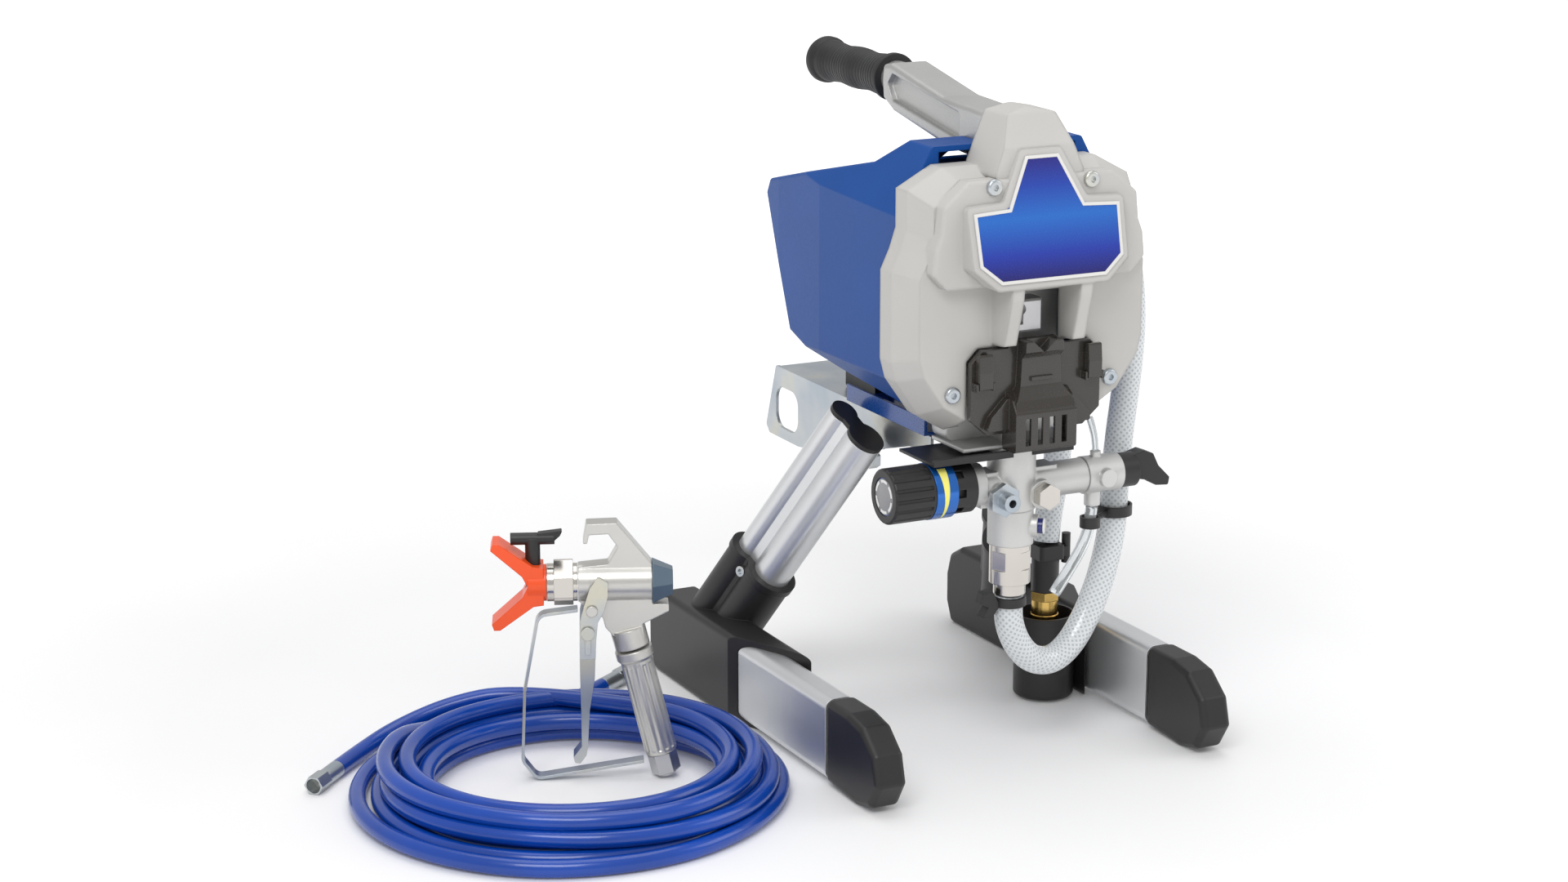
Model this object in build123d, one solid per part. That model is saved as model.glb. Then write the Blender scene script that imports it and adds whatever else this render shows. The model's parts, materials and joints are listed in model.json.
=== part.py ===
"""Stand-mounted airless paint sprayer with its spray gun and a coil of hose, in millimetres.

The machine is drawn with x = 0 on its plane of symmetry, y = 0 at the upper cover screws, z = 0 on
the floor. Its front faces -Y and its motor runs back along +Y. ORIGIN_SHIFT then moves everything so
that the row's origin is the middle of the base of the sprayer and gun together.
"""

from build123d import *
from math import cos, hypot, pi, radians, sin, tan
import os

os.makedirs("parts", exist_ok=True)

# ---- driving sizes -------------------------------------------------------------------------------
ORIGIN_SHIFT = (106.634, -156.161, 0.0)

# front cover
COVER_FRONT_Y = 0.0
COVER_REAR_Y = 50.0
COVER_WALL = 3.0
COVER_HALF_WIDTH = 104.0
COVER_LOW_FACE_Y = 10.6
PEAK_TOP_Z = 496.0
UPPER_SCREW = (40.1, COVER_FRONT_Y, 444.0)
LOWER_SCREW = (66.0, COVER_LOW_FACE_Y, 293.3)
WINDOW_HALF_WIDTH = 23.5
WINDOW_TOP_Z = 364.0
LABEL_TOP = (3.0, 464.0)
LABEL_BOTTOM = (-18.0, 377.0)

# motor shroud, tray and bracket
SHROUD_REAR_Y = 290.0
SHROUD_WALL = 2.0
TRAY_HALF_WIDTH = 60.0
TRAY_BOTTOM_Z = 253.0
TRAY_Y = (62.0, 186.0)
SHEET = 2.5
BRACKET_HALF_WIDTH = 50.0
BRACKET_TOP_Z = 247.0
BRACKET_Y = (70.0, 340.0)

# stand
FOOT_X = 139.0
FOOT_TUBE = (25.0, 63.0)
FOOT_TUBE_Z = 34.5
FOOT_TUBE_Y = (42.0, 300.0)
FOOT_CORNER = 8.0
CAP_FRONT_Y = -40.0
KNUCKLE_Y = (123.0, 352.0)
KNUCKLE_MOUTH_OUTER_Y = 200.0
LEG_TOP = Vector(69.8, 153.0, 236.5)
LEG_RIM = Vector(110.0, 231.0, 115.0)
LEG_WIDE_DIR = Vector(-0.262, -0.778, -0.570)
LEG_LOBE_R = (15.0, 11.0)
LEG_LOBE_AT = (12.0, -16.0)
LEG_WEB_HALF = 8.0
LEG_WALL = 2.0

# pump and manifold
MAN_Y = 20.0
MAN_Z = 218.0
OUTLET_THREAD_R = 6.6
VALVE_X = (50.0, 80.0)
INLET_R = 17.0
KNOB_R = 20.5
KNOB_X = (-116.0, -83.0)
PISTON_ROD_R = 6.0
RUN_GAP = 0.05

# drive
CRANK_Z = 340.0
CRANK_THROW = 5.0
GEAR_MODULE = 1.5
GEAR_TEETH = 42
PINION_TEETH = 14
GEAR_CENTRES = GEAR_MODULE * (GEAR_TEETH + PINION_TEETH) / 2 + 0.5
MOTOR_Z = CRANK_Z + GEAR_CENTRES
MOTOR_R = 38.0
GEAR_Y = (59.0, 67.0)

# suction side
HOSE_R = 10.75
CUP_AT = (97.0, 146.0)
CUP_R = 24.0
CUP_Z = (1.5, 69.0)

# gun and blue hose
COIL_AT = (-323.0, 104.0)
GUN_AT = (-294.0, 131.0)
GUN_YAW = 157.5
BLUE_HOSE_R = 6.5
COIL_OUTER_R = 170.0
COIL_INNER_R = 98.0
COIL_HEIGHT = 41.0


# ---- small helpers -------------------------------------------------------------------------------
def outline(points, radius=0.0):
    """A flat face from a closed list of points, with rounded corners if a radius is given."""
    if radius:
        return make_face(FilletPolyline(*points, radius=radius, close=True))
    return make_face(Polyline(*points, close=True))


def prism_x(points, x0, x1, radius=0.0):
    """An outline of (y, z) points, from x0 to x1."""
    plane = Plane(origin=(x0, 0, 0), x_dir=(0, 1, 0), z_dir=(1, 0, 0))
    return extrude(plane * outline(points, radius), amount=x1 - x0, dir=(1, 0, 0))


def prism_y(points, y0, y1, radius=0.0):
    """An outline of (x, z) points, from y0 to y1."""
    plane = Plane(origin=(0, y0, 0), x_dir=(1, 0, 0), z_dir=(0, -1, 0))
    return extrude(plane * outline(points, radius), amount=y1 - y0, dir=(0, 1, 0))


def prism_z(points, z0, z1, radius=0.0):
    """An outline of (x, y) points, from z0 to z1."""
    return extrude(Pos(0, 0, z0) * outline(points, radius), amount=z1 - z0, dir=(0, 0, 1))


def block(x0, x1, y0, y1, z0, z1):
    return Pos((x0 + x1) / 2, (y0 + y1) / 2, (z0 + z1) / 2) * Box(x1 - x0, y1 - y0, z1 - z0)


def bar(a, b, r):
    """A round bar from a to b."""
    a, b = Vector(*a), Vector(*b)
    return extrude(Plane(origin=a, z_dir=b - a) * Circle(r), amount=(b - a).length)


def hex_bar(a, b, across_flats, turn=0.0):
    a, b = Vector(*a), Vector(*b)
    corner_r = across_flats / 2 / cos(pi / 6)
    face = Plane(origin=a, z_dir=b - a) * Rot(0, 0, turn) * RegularPolygon(corner_r, 6)
    return extrude(face, amount=(b - a).length)


def mirrored(points):
    """The right half of an outline, lowest point first, completed with its mirror image."""
    return list(points) + [(-x, z) for x, z in reversed(points) if x > 0]


def flip(shape):
    return mirror(shape, about=Plane.YZ)


def lined_up(shape):
    """The parts of a shape as one compound, for a node of several separate solids."""
    return Compound(children=[s for s in shape])


NODES = {}


def node(name, shape):
    NODES[name] = shape


def ease_front(part, amount):
    """Round the edges of the face that looks forward."""
    front = part.faces().sort_by(Axis.Y)[0]
    return fillet(front.edges(), amount)


def toothed_wheel(teeth, module, y0, y1, first_tooth):
    """A spur wheel on the Y axis, with short straight-sided teeth. first_tooth is in degrees from +X."""
    pitch_r = module * teeth / 2
    root_r, tip_r = pitch_r - 0.9 * module, pitch_r + 0.7 * module
    root_half, tip_half = 0.30 * 2 * pi / teeth, 0.14 * 2 * pi / teeth
    points = []
    for i in range(teeth):
        middle = radians(first_tooth) + 2 * pi * i / teeth
        corners = ((root_r, -root_half), (tip_r, -tip_half), (tip_r, tip_half), (root_r, root_half))
        for radius, half in corners:
            points.append((radius * cos(middle + half), radius * sin(middle + half)))
    return prism_y(points, y0, y1)


# ---- front cover ---------------------------------------------------------------------------------
COVER_SIDE = [(60, 262), (81, 275), (100, 302), (104, 317), (104, 382), (97, 397), (92, 412), (92, 440),
              (64, 455)]
COVER_MIDDLE_Z = 357.0
DOOR_SIDE = [(40, 262), (54, 274), (54, 316), (45, 325), (24, 325)]


def cover_outline(inset):
    """The cover's front outline, drawn in towards its middle by about inset at each side."""
    kx = 1 - inset / COVER_HALF_WIDTH
    kz = 1 - inset / (COVER_MIDDLE_Z - COVER_SIDE[0][1])
    half = [(x * kx, COVER_MIDDLE_Z + (z - COVER_MIDDLE_Z) * kz) for x, z in COVER_SIDE]
    return mirrored(half)


def cover_body(front_inset, rear_inset, front_y, shoulder_y, rear_y):
    """A block with the cover's outline whose sides draw in from the shoulder to the front."""
    def face(y, inset):
        return Plane(origin=(0, y, 0), x_dir=(1, 0, 0), z_dir=(0, -1, 0)) * outline(cover_outline(inset))
    nose = loft([face(shoulder_y, rear_inset), face(front_y, front_inset)], ruled=True)
    return nose + prism_y(cover_outline(rear_inset), shoulder_y, rear_y)


def label_plane():
    low = Vector(0, LABEL_BOTTOM[0], LABEL_BOTTOM[1])
    up = Vector(0, LABEL_TOP[0], LABEL_TOP[1]) - low
    return Plane(origin=low, x_dir=(1, 0, 0), z_dir=Vector(1, 0, 0).cross(up.normalized()))


def label_outline(margin):
    height = hypot(LABEL_TOP[0] - LABEL_BOTTOM[0], LABEL_TOP[1] - LABEL_BOTTOM[1])
    half = [(43 + margin * 0.5, -margin), (59 + margin, 13.5 - margin * 0.5), (60 + margin, 51.5 + margin),
            (31 + margin * 0.7, 53 + margin), (13.5 + margin * 0.7, height + margin)]
    return outline(mirrored(half), 4)


def make_front_cover():
    cover = cover_body(11, 0, COVER_LOW_FACE_Y, 34, COVER_REAR_Y)
    plateau = prism_y(mirrored([(76, 372), (88, 384), (86, 402), (82, 412), (80, 432), (60, 449)]),
                      COVER_FRONT_Y, COVER_LOW_FACE_Y + 4, 4)
    cover += ease_front(plateau, 2.5)
    boss = extrude(label_plane() * label_outline(5), amount=34, dir=(0, 1, 0))
    cover += boss
    peak_front = prism_y(mirrored([(38, 448), (20, 492), (0, PEAK_TOP_Z)]), 0, COVER_REAR_Y, 3)
    peak_side = prism_x([(3, 440), (6, 470), (18, 492), (26, PEAK_TOP_Z), (COVER_REAR_Y, PEAK_TOP_Z),
                         (COVER_REAR_Y, 440)], -40, 40, 3)
    cover += peak_front & peak_side
    for side in (-1, 1):
        x0, x1 = sorted((side * WINDOW_HALF_WIDTH, side * (WINDOW_HALF_WIDTH + 10)))
        cover += prism_x([(14, 327), (-7, 329), (-17, 364), (-18, 374), (14, 374)], x0, x1, 1.5)
    cover -= block(-58, 38, 30, COVER_REAR_Y + 1, 255, 274)
    cover -= cover_body(15, COVER_WALL + 1, COVER_LOW_FACE_Y + 4, 36, COVER_REAR_Y + 1)
    cover -= block(-WINDOW_HALF_WIDTH, WINDOW_HALF_WIDTH, -40, 30, 320, WINDOW_TOP_Z)
    cover -= prism_y(mirrored([(x + 0.6, z + (0.6 if z > 300 else -6)) for x, z in DOOR_SIDE]), -30, 60)
    for x, y, z in cover_screw_places():
        cover -= bar((x, y - 1, z), (x, y + 18, z), 2.7)
    return cover


def cover_screw_places():
    for side in (-1, 1):
        for x, y, z in (UPPER_SCREW, LOWER_SCREW):
            yield side * x, y, z


def make_cover_screws():
    screws = []
    for x, y, z in cover_screw_places():
        head = bar((x, y - 3.4, z), (x, y, z), 6.2)
        head = fillet(head.faces().sort_by(Axis.Y)[0].edges(), 2.0)
        socket = bar((x, y - 3.6, z), (x, y - 1.4, z), 2.2)
        screws.append(head - socket + bar((x, y, z), (x, y + 14, z), 2.6))
    return lined_up(screws)


def make_label_plate():
    return extrude(label_plane() * label_outline(0), amount=1.2)


# ---- access door ---------------------------------------------------------------------------------
DOOR_FACE_Y = 4.0
VENT_HALF_WIDTH = 25.4
VENT_FACE_Y = -12.0
CLIP_X = 45.5
CLIP_PIN = (-1.0, 299.5)


def make_pump_door():
    plate = prism_y(mirrored(DOOR_SIDE + [(16, 331), (0, 325)]), DOOR_FACE_Y, DOOR_FACE_Y + 5, 1.5)
    hood = prism_x([(8, 250), (VENT_FACE_Y, 250), (VENT_FACE_Y, 279), (-6, 288), (2, 293), (8, 293)],
                   -VENT_HALF_WIDTH, VENT_HALF_WIDTH, 3)
    wall = 2.5
    hollow = prism_x([(9, 252.5), (VENT_FACE_Y + wall, 252.5), (VENT_FACE_Y + wall, 278), (-4.5, 286),
                      (9, 289)],
                     wall - VENT_HALF_WIDTH, VENT_HALF_WIDTH - wall)
    door = plate + hood
    chute_front = prism_y(mirrored([(25.4, 276), (24, 286), (17, 297), (15.5, 331)]), -20, 8, 2)
    chute_side = prism_x([(8, 276), (-12, 276), (-9, 288), (-3, 297), (-3, 318), (-8, 323), (-8, 331),
                          (8, 331)],
                         -30, 30, 1)
    door += chute_front & chute_side
    door -= prism_y([(-11, 332), (0, 322), (11, 332)], -9, 2)
    door += block(-9, 9, -5, -2, 301, 304)
    for side in (-1, 1):
        shoulder = prism_y([(side * 24, 266), (side * 44, 266), (side * 40, 276), (side * 24, 292)], -2, 5,
                           2)
        door += shoulder
        for inner in (CLIP_X - 7.6, CLIP_X + 5.9):
            x0, x1 = sorted((side * inner, side * (inner + 1.7)))
            door += block(x0, x1, -3, DOOR_FACE_Y + 1, 296.5, 302.5)
    door -= hollow
    for x in (-15, -5, 5, 15):
        door -= block(x - 2.2, x + 2.2, VENT_FACE_Y - 1, VENT_FACE_Y + 4, 255, 275)
    for side in (-1, 1):
        door -= bar((side * (CLIP_X - 9), *CLIP_PIN), (side * (CLIP_X + 9), *CLIP_PIN), 1.6)
    return door


def make_door_clip(side):
    clip = prism_x([(-3.6, 297.5), (1.8, 297.5), (3.4, 302), (3.4, 316), (1.6, 323), (-2.6, 323),
                    (-3.8, 310)],
                   side * CLIP_X - 5.5, side * CLIP_X + 5.5, 1.2)
    pin = bar((side * CLIP_X - 7.4, *CLIP_PIN), (side * CLIP_X + 7.4, *CLIP_PIN), 1.5)
    return clip + pin


# ---- drive ---------------------------------------------------------------------------------------
PUMP_X = -10.0
HOUSING_Y = (36.0, 58.0)
PIN_R = 4.0
SHAFT_R = 8.0
MOTOR_SHAFT_R = 4.0
CAN_Y = (72.0, 172.0)
FAN_Y = (176.0, 188.0)


def make_drive_housing():
    y0, y1 = HOUSING_Y
    housing = prism_y([(-56, 252), (36, 252), (36, 400), (24, 424), (-44, 424), (-56, 400)], y0, y1, 6)
    housing -= prism_y([(-24, 270), (4, 270), (4, 300), (-24, 300)], y0 - 1, y1 + 1, 4)
    housing -= bar((PUMP_X, y0 - 1, CRANK_Z), (PUMP_X, y1 + 1, CRANK_Z), SHAFT_R + RUN_GAP)
    housing -= bar((PUMP_X, y0 - 1, MOTOR_Z), (PUMP_X, y1 + 1, MOTOR_Z), MOTOR_SHAFT_R + RUN_GAP)
    return housing


def make_yoke():
    yoke = block(PUMP_X - 13, PUMP_X + 18, 10, 28, 334, 358)
    yoke = chamfer(yoke.faces().sort_by(Axis.Y)[0].edges(), 1.5)
    yoke -= bar((PUMP_X, 9, 351), (PUMP_X, 14, 351), 4.0)
    yoke -= block(PUMP_X - 1.8, PUMP_X + 1.8, 9, 14, 340, 351)
    return yoke


def make_piston_rod():
    return bar((PUMP_X, MAN_Y, 240), (PUMP_X, MAN_Y, 334), PISTON_ROD_R)


def make_crankshaft():
    shaft = bar((PUMP_X, 33, CRANK_Z), (PUMP_X, GEAR_Y[1], CRANK_Z), SHAFT_R)
    disc = bar((PUMP_X, 32.5, CRANK_Z), (PUMP_X, HOUSING_Y[0] - 0.4, CRANK_Z), 15)
    pin = bar((PUMP_X, 28.5, CRANK_Z + CRANK_THROW), (PUMP_X, 33, CRANK_Z + CRANK_THROW), PIN_R)
    return shaft + disc + pin


def make_drive_gear():
    wheel = Pos(PUMP_X, 0, CRANK_Z) * toothed_wheel(GEAR_TEETH, GEAR_MODULE, *GEAR_Y, 90.0)
    bore = bar((PUMP_X, 40, CRANK_Z), (PUMP_X, 90, CRANK_Z), SHAFT_R)
    return wheel - bore


def make_motor_can():
    y0, y1 = CAN_Y
    can = bar((PUMP_X, y0, MOTOR_Z), (PUMP_X, y1, MOTOR_Z), MOTOR_R)
    can -= bar((PUMP_X, y0 + 4, MOTOR_Z), (PUMP_X, y1 - 4, MOTOR_Z), MOTOR_R - 3)
    can -= bar((PUMP_X, y0 - 1, MOTOR_Z), (PUMP_X, y1 + 1, MOTOR_Z), MOTOR_SHAFT_R + RUN_GAP)
    can += block(PUMP_X - 16, PUMP_X + 16, y0, y1, TRAY_BOTTOM_Z + SHEET, MOTOR_Z - MOTOR_R + 2)
    return can


def make_armature():
    y0, y1 = CAN_Y
    core = bar((PUMP_X, y0 + 16, MOTOR_Z), (PUMP_X, y1 - 24, MOTOR_Z), 27)
    brushes = bar((PUMP_X, y1 - 22, MOTOR_Z), (PUMP_X, y1 - 8, MOTOR_Z), 14)
    shaft = bar((PUMP_X, 42, MOTOR_Z), (PUMP_X, FAN_Y[1] + 4, MOTOR_Z), MOTOR_SHAFT_R)
    return core + brushes + shaft


def make_pinion():
    gap_at_gear = -90.0 + 180.0 / PINION_TEETH
    wheel = Pos(PUMP_X, 0, MOTOR_Z) * toothed_wheel(PINION_TEETH, GEAR_MODULE, *GEAR_Y, gap_at_gear)
    return wheel - bar((PUMP_X, 40, MOTOR_Z), (PUMP_X, 90, MOTOR_Z), MOTOR_SHAFT_R)


def make_fan():
    y0, y1 = FAN_Y
    hub = bar((PUMP_X, y0, MOTOR_Z), (PUMP_X, y1, MOTOR_Z), 12)
    fan = hub + bar((PUMP_X, y0, MOTOR_Z), (PUMP_X, y0 + 2, MOTOR_Z), 33)
    for i in range(9):
        blade = Pos(22, 0, 0) * Rot(0, 20, 0) * Box(24, y1 - y0 - 2, 2)
        fan += Pos(PUMP_X, (y0 + y1) / 2 + 1, MOTOR_Z) * Rot(0, 40 * i, 0) * blade
    return fan - bar((PUMP_X, y0 - 1, MOTOR_Z), (PUMP_X, y1 + 1, MOTOR_Z), MOTOR_SHAFT_R)


# ---- shroud, tray, handle ------------------------------------------------------------------------
SHROUD_FRONT_Y = COVER_REAR_Y + 0.3
SHROUD_SIDE = [(SHROUD_FRONT_Y, 264), (SHROUD_FRONT_Y, 467), (86, 467), (120, 447), (SHROUD_REAR_Y - 8, 410),
               (SHROUD_REAR_Y, 398), (240, 297), (160, 279)]
SHROUD_FRONT = [(58, 264), (89, 296), (89, 418), (62, 467)]
SHROUD_PLAN = [(89, SHROUD_FRONT_Y), (87, 180), (81, 262), (78, SHROUD_REAR_Y)]
ARM_HALF_WIDTH = 17.0
GRIP_Z = 491.5
GRIP_Y = (222.2, 343.0)
GRIP_LIP_R = 18.5


def shroud_block(inset):
    """The shroud's outer shape, or its inner shape when drawn in by the sheet's thickness."""
    def drawn_in(points):
        face = make_face(Polyline(*points, close=True))
        return offset(face, amount=-inset, kind=Kind.INTERSECTION) if inset else face
    side_plane = Plane(origin=(-100, 0, 0), x_dir=(0, 1, 0), z_dir=(1, 0, 0))
    side = extrude(side_plane * drawn_in(SHROUD_SIDE), amount=200, dir=(1, 0, 0))
    front_plane = Plane(origin=(0, 40, 0), x_dir=(1, 0, 0), z_dir=(0, -1, 0))
    front = extrude(front_plane * drawn_in(mirrored(SHROUD_FRONT)), amount=300, dir=(0, 1, 0))
    plan = extrude(Pos(0, 0, 240) * drawn_in(mirrored(SHROUD_PLAN)), amount=260, dir=(0, 0, 1))
    return side & front & plan


def make_motor_shroud():
    shroud = shroud_block(0)
    creases = shroud.edges().filter_by(lambda e: e.center().Y > SHROUD_FRONT_Y + 2)
    shroud = fillet(creases, 3.0)
    shroud -= shroud_block(SHROUD_WALL)
    shroud -= block(PUMP_X - 20, PUMP_X + 20, 66, 176, 255, 300)
    shroud -= block(-58, 38, SHROUD_FRONT_Y - 1, 60, 255, 275)
    shroud -= block(-57, 57, SHROUD_FRONT_Y - 1, SHROUD_FRONT_Y + 6, 268, 463)
    shroud -= block(-84, 84, SHROUD_FRONT_Y - 1, SHROUD_FRONT_Y + 6, 300, 412)
    shroud -= block(-ARM_HALF_WIDTH - 0.5, ARM_HALF_WIDTH + 0.5, SHROUD_FRONT_Y - 1, 132, 432, 480)
    for i in range(9):
        x = -48 + 12 * i
        shroud -= block(x - 2.5, x + 2.5, 250, SHROUD_REAR_Y + 5, 345, 390)
    return shroud


def make_shroud_tray():
    y0, y1 = TRAY_Y
    tray = block(-TRAY_HALF_WIDTH, TRAY_HALF_WIDTH, y0, y1, TRAY_BOTTOM_Z - SHEET, TRAY_BOTTOM_Z)
    for side in (-1, 1):
        x0, x1 = sorted((side * (TRAY_HALF_WIDTH - SHEET), side * TRAY_HALF_WIDTH))
        tray += block(x0, x1, y0, y1, TRAY_BOTTOM_Z - SHEET, 263.7)
    return tray


def make_handle_arm():
    arm = prism_x([(SHROUD_FRONT_Y, 424.5), (SHROUD_FRONT_Y, 488), (120, 491), (200, 506), (212, 504),
                   (214, 492), (212, 478), (196, 470), (112, 455), (82, 453), (71, 424.5)],
                  -ARM_HALF_WIDTH, ARM_HALF_WIDTH, 2)
    for side in (-1, 1):
        x0, x1 = sorted((side * (ARM_HALF_WIDTH - 5), side * (ARM_HALF_WIDTH + 1)))
        arm -= prism_x([(92, 462), (92, 483), (196, 499), (204, 490), (196, 478)], x0, x1, 3)
    arm = fillet(arm.edges().filter_by(lambda e: e.center().Y > 205 and abs(e.center().X) > 16.9), 4)
    neck = bar((0, 210, GRIP_Z), (0, 222, GRIP_Z), 13)
    return arm + neck + bar((0, 220, GRIP_Z), (0, GRIP_Y[1] - 5.8, GRIP_Z), 9)


def make_handle_grip():
    y0, y1 = GRIP_Y
    lip, core = GRIP_LIP_R, 9.05
    profile = [(core, y0), (lip, y0), (lip, y0 + 6), (16.2, y0 + 10), (15.4, y0 + 34), (16.4, y0 + 62),
               (15.4, y0 + 90), (16.2, y1 - 13), (lip, y1 - 10), (lip, y1 - 4), (14, y1), (0, y1),
               (0, y1 - 5.6),
               (core, y1 - 5.6)]
    plane = Plane(origin=(0, 0, GRIP_Z), x_dir=(1, 0, 0), z_dir=(0, 0, 1))
    turned = plane * make_face(Polyline(*profile, close=True))
    return revolve(turned, axis=Axis((0, 0, GRIP_Z), (0, 1, 0)), revolution_arc=360)


# ---- bracket and stand ---------------------------------------------------------------------------
def make_stand_bracket():
    half = BRACKET_HALF_WIDTH
    top = block(-half, half, BRACKET_Y[0], 326, BRACKET_TOP_Z - SHEET, BRACKET_TOP_Z)
    bracket = top
    for side in (-1, 1):
        x0, x1 = sorted((side * (half - SHEET), side * half))
        flange = prism_x([(BRACKET_Y[0], BRACKET_TOP_Z), (330, BRACKET_TOP_Z), (348, 194), (342, 188),
                          (290, 188),
                          (230, 196), (103, 232), (BRACKET_Y[0], 236)], x0, x1, 3)
        hole = Plane(origin=(x0 - 1, 310, 214), x_dir=(0, 1, 0), z_dir=(1, 0, 0)) * RectangleRounded(40, 34,
                                                                                                     12)
        bracket += flange - extrude(hole, amount=SHEET + 2)
    return bracket


def leg_profile(grow):
    """The two-lobed section of a leg, grown or shrunk by the same amount all round."""
    big_r, small_r = LEG_LOBE_R
    big_at, small_at = LEG_LOBE_AT
    web = Pos((big_at + small_at) / 2, 0) * Rectangle(big_at - small_at, 2 * (LEG_WEB_HALF + grow))
    return Pos(big_at, 0) * Circle(big_r + grow) + Pos(small_at, 0) * Circle(small_r + grow) + web


def leg_run(grow, start, length):
    """A prism of the leg's section, starting a distance past the leg's top end."""
    down = (LEG_RIM - LEG_TOP).normalized()
    plane = Plane(origin=LEG_TOP + down * start, x_dir=LEG_WIDE_DIR, z_dir=down)
    return extrude(plane * leg_profile(grow), amount=length)


LEG_VISIBLE = (LEG_RIM - LEG_TOP).length
LEG_SOCKET = 30.0
KNUCKLE_WALL = 4.5


def make_leg():
    length = LEG_VISIBLE + LEG_SOCKET
    return leg_run(0, 0, length) - leg_run(-LEG_WALL, -1, length + 2)


def make_leg_plug():
    return leg_run(0, -3.5, 3.5) + leg_run(-LEG_WALL - 0.1, -1, 13)


def make_leg_bolts():
    bolts = []
    for side in (-1, 1):
        for y, z in ((159.0, 223.0), (172.0, 205.0)):
            x0 = side * (BRACKET_HALF_WIDTH - SHEET)
            head = hex_bar((x0 - side * 6.5, y, z), (x0, y, z), 13)
            bolts.append(head)
    return bolts


def foot_section(grow, y0, y1):
    width, height = FOOT_TUBE
    plane = Plane(origin=(FOOT_X, y0, FOOT_TUBE_Z), x_dir=(1, 0, 0), z_dir=(0, -1, 0))
    face = plane * RectangleRounded(width + 2 * grow, height + 2 * grow, FOOT_CORNER + grow)
    return extrude(face, amount=y1 - y0, dir=(0, 1, 0))


def make_knuckle():
    width, height = FOOT_TUBE
    y0, y1 = KNUCKLE_Y
    half = width / 2 + KNUCKLE_WALL
    top = FOOT_TUBE_Z + height / 2 + KNUCKLE_WALL
    shoe = prism_x([(y0 - 20, 0), (y0 - 20, top), (y1 - 24, top), (y1 - 6, top - 10), (y1, top - 28),
                    (y1, 18),
                    (y1 - 8, 0)], FOOT_X - half, FOOT_X + half, 6)
    shoe = fillet(shoe.edges().filter_by(lambda e: abs(abs(e.center().X - FOOT_X) - half) < 0.1), 5)
    shoe -= prism_z([(FOOT_X - half, y0), (FOOT_X + half, KNUCKLE_MOUTH_OUTER_Y), (FOOT_X + half, y0 - 30),
                     (FOOT_X - half - 1, y0 - 30), (FOOT_X - half - 1, y0)], -1, top + 1)
    neck = leg_run(KNUCKLE_WALL, LEG_VISIBLE, 74)
    rim = leg_run(KNUCKLE_WALL + 1.5, LEG_VISIBLE, 6)
    knuckle = shoe + neck + rim
    knuckle -= leg_run(0.1, LEG_VISIBLE - 1, LEG_SOCKET + 1.5)
    knuckle -= foot_section(0.1, y0 - 30, FOOT_TUBE_Y[1] + 0.5)
    for foot, out in knuckle_screw_axes():
        knuckle -= bar(foot, foot + out * 12, 4.6)
    return knuckle


def knuckle_screw_axes():
    """The foot of each screw head and its inward direction, for the right-hand knuckle."""
    down = (LEG_RIM - LEG_TOP).normalized()
    across = down.cross(LEG_WIDE_DIR).normalized()
    if across.X < 0:
        across = across * -1
    wide = LEG_WIDE_DIR.normalized()
    along = 12.0
    yield LEG_RIM + down * along + wide * -4.0 + across * (LEG_WEB_HALF + KNUCKLE_WALL + 0.1), across
    yield Vector(FOOT_X - FOOT_TUBE[0] / 2 - KNUCKLE_WALL, KNUCKLE_Y[0] + 60, FOOT_TUBE_Z), Vector(-1, 0, 0)


def make_knuckle_screws():
    screws = []
    for foot, out in knuckle_screw_axes():
        head = bar(foot, foot + out * 3.0, 4.3)
        head -= bar(foot + out * 1.2, foot + out * 4.0, 2.0)
        screws += [head, flip(head)]
    return screws


def make_foot_tube():
    y0, y1 = FOOT_TUBE_Y
    return foot_section(0, y0, y1) - foot_section(-2.0, y0 - 1, y1 + 1)


def make_foot_cap():
    width, height = FOOT_TUBE
    top = FOOT_TUBE_Z + height / 2
    y1 = FOOT_TUBE_Y[0] - 0.2
    nose = prism_x([(y1, 3.0), (-4, 0), (-28, 5), (CAP_FRONT_Y, 24), (CAP_FRONT_Y + 6, 46), (-14, 62),
                    (8, top), (y1, top)],
                   FOOT_X - width / 2, FOOT_X + width / 2, 4)
    nose = fillet(nose.edges().filter_by(lambda e: abs(abs(e.center().X - FOOT_X) - width / 2) < 0.1
                                         and e.center().Y < y1 - 1), 5)
    return nose


# ---- pump and manifold ---------------------------------------------------------------------------
KNOB_Z = 221.5
PUMP_TOP_Z = 249.0
OUTLET = (-27.0, 213.0)
PLUG = (8.0, 212.0)
VALVE_Z = 217.6
BOSS_FACE = 3.0


def make_manifold():
    body = bar((-48, MAN_Y, MAN_Z), (50, MAN_Y, MAN_Z), 13)
    body += bar((PUMP_X, MAN_Y, 201), (PUMP_X, MAN_Y, PUMP_TOP_Z), 18)
    body += block(-40, 24, 12, 30, 205, 231)
    for x, z in (OUTLET, PLUG):
        body += bar((x, BOSS_FACE, z), (x, MAN_Y, z), 11)
    body += bar((-48, MAN_Y, KNOB_Z), (-38, MAN_Y, KNOB_Z), 16)
    body -= bar((PUMP_X, MAN_Y, 228), (PUMP_X, MAN_Y, PUMP_TOP_Z + 1), PISTON_ROD_R + RUN_GAP)
    for x, z in (OUTLET, PLUG):
        body -= bar((x, BOSS_FACE - 1, z), (x, BOSS_FACE + 9, z), 6.0)
    body -= bar((-49, MAN_Y, KNOB_Z), (-42, MAN_Y, KNOB_Z), 8.5)
    return body


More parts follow.
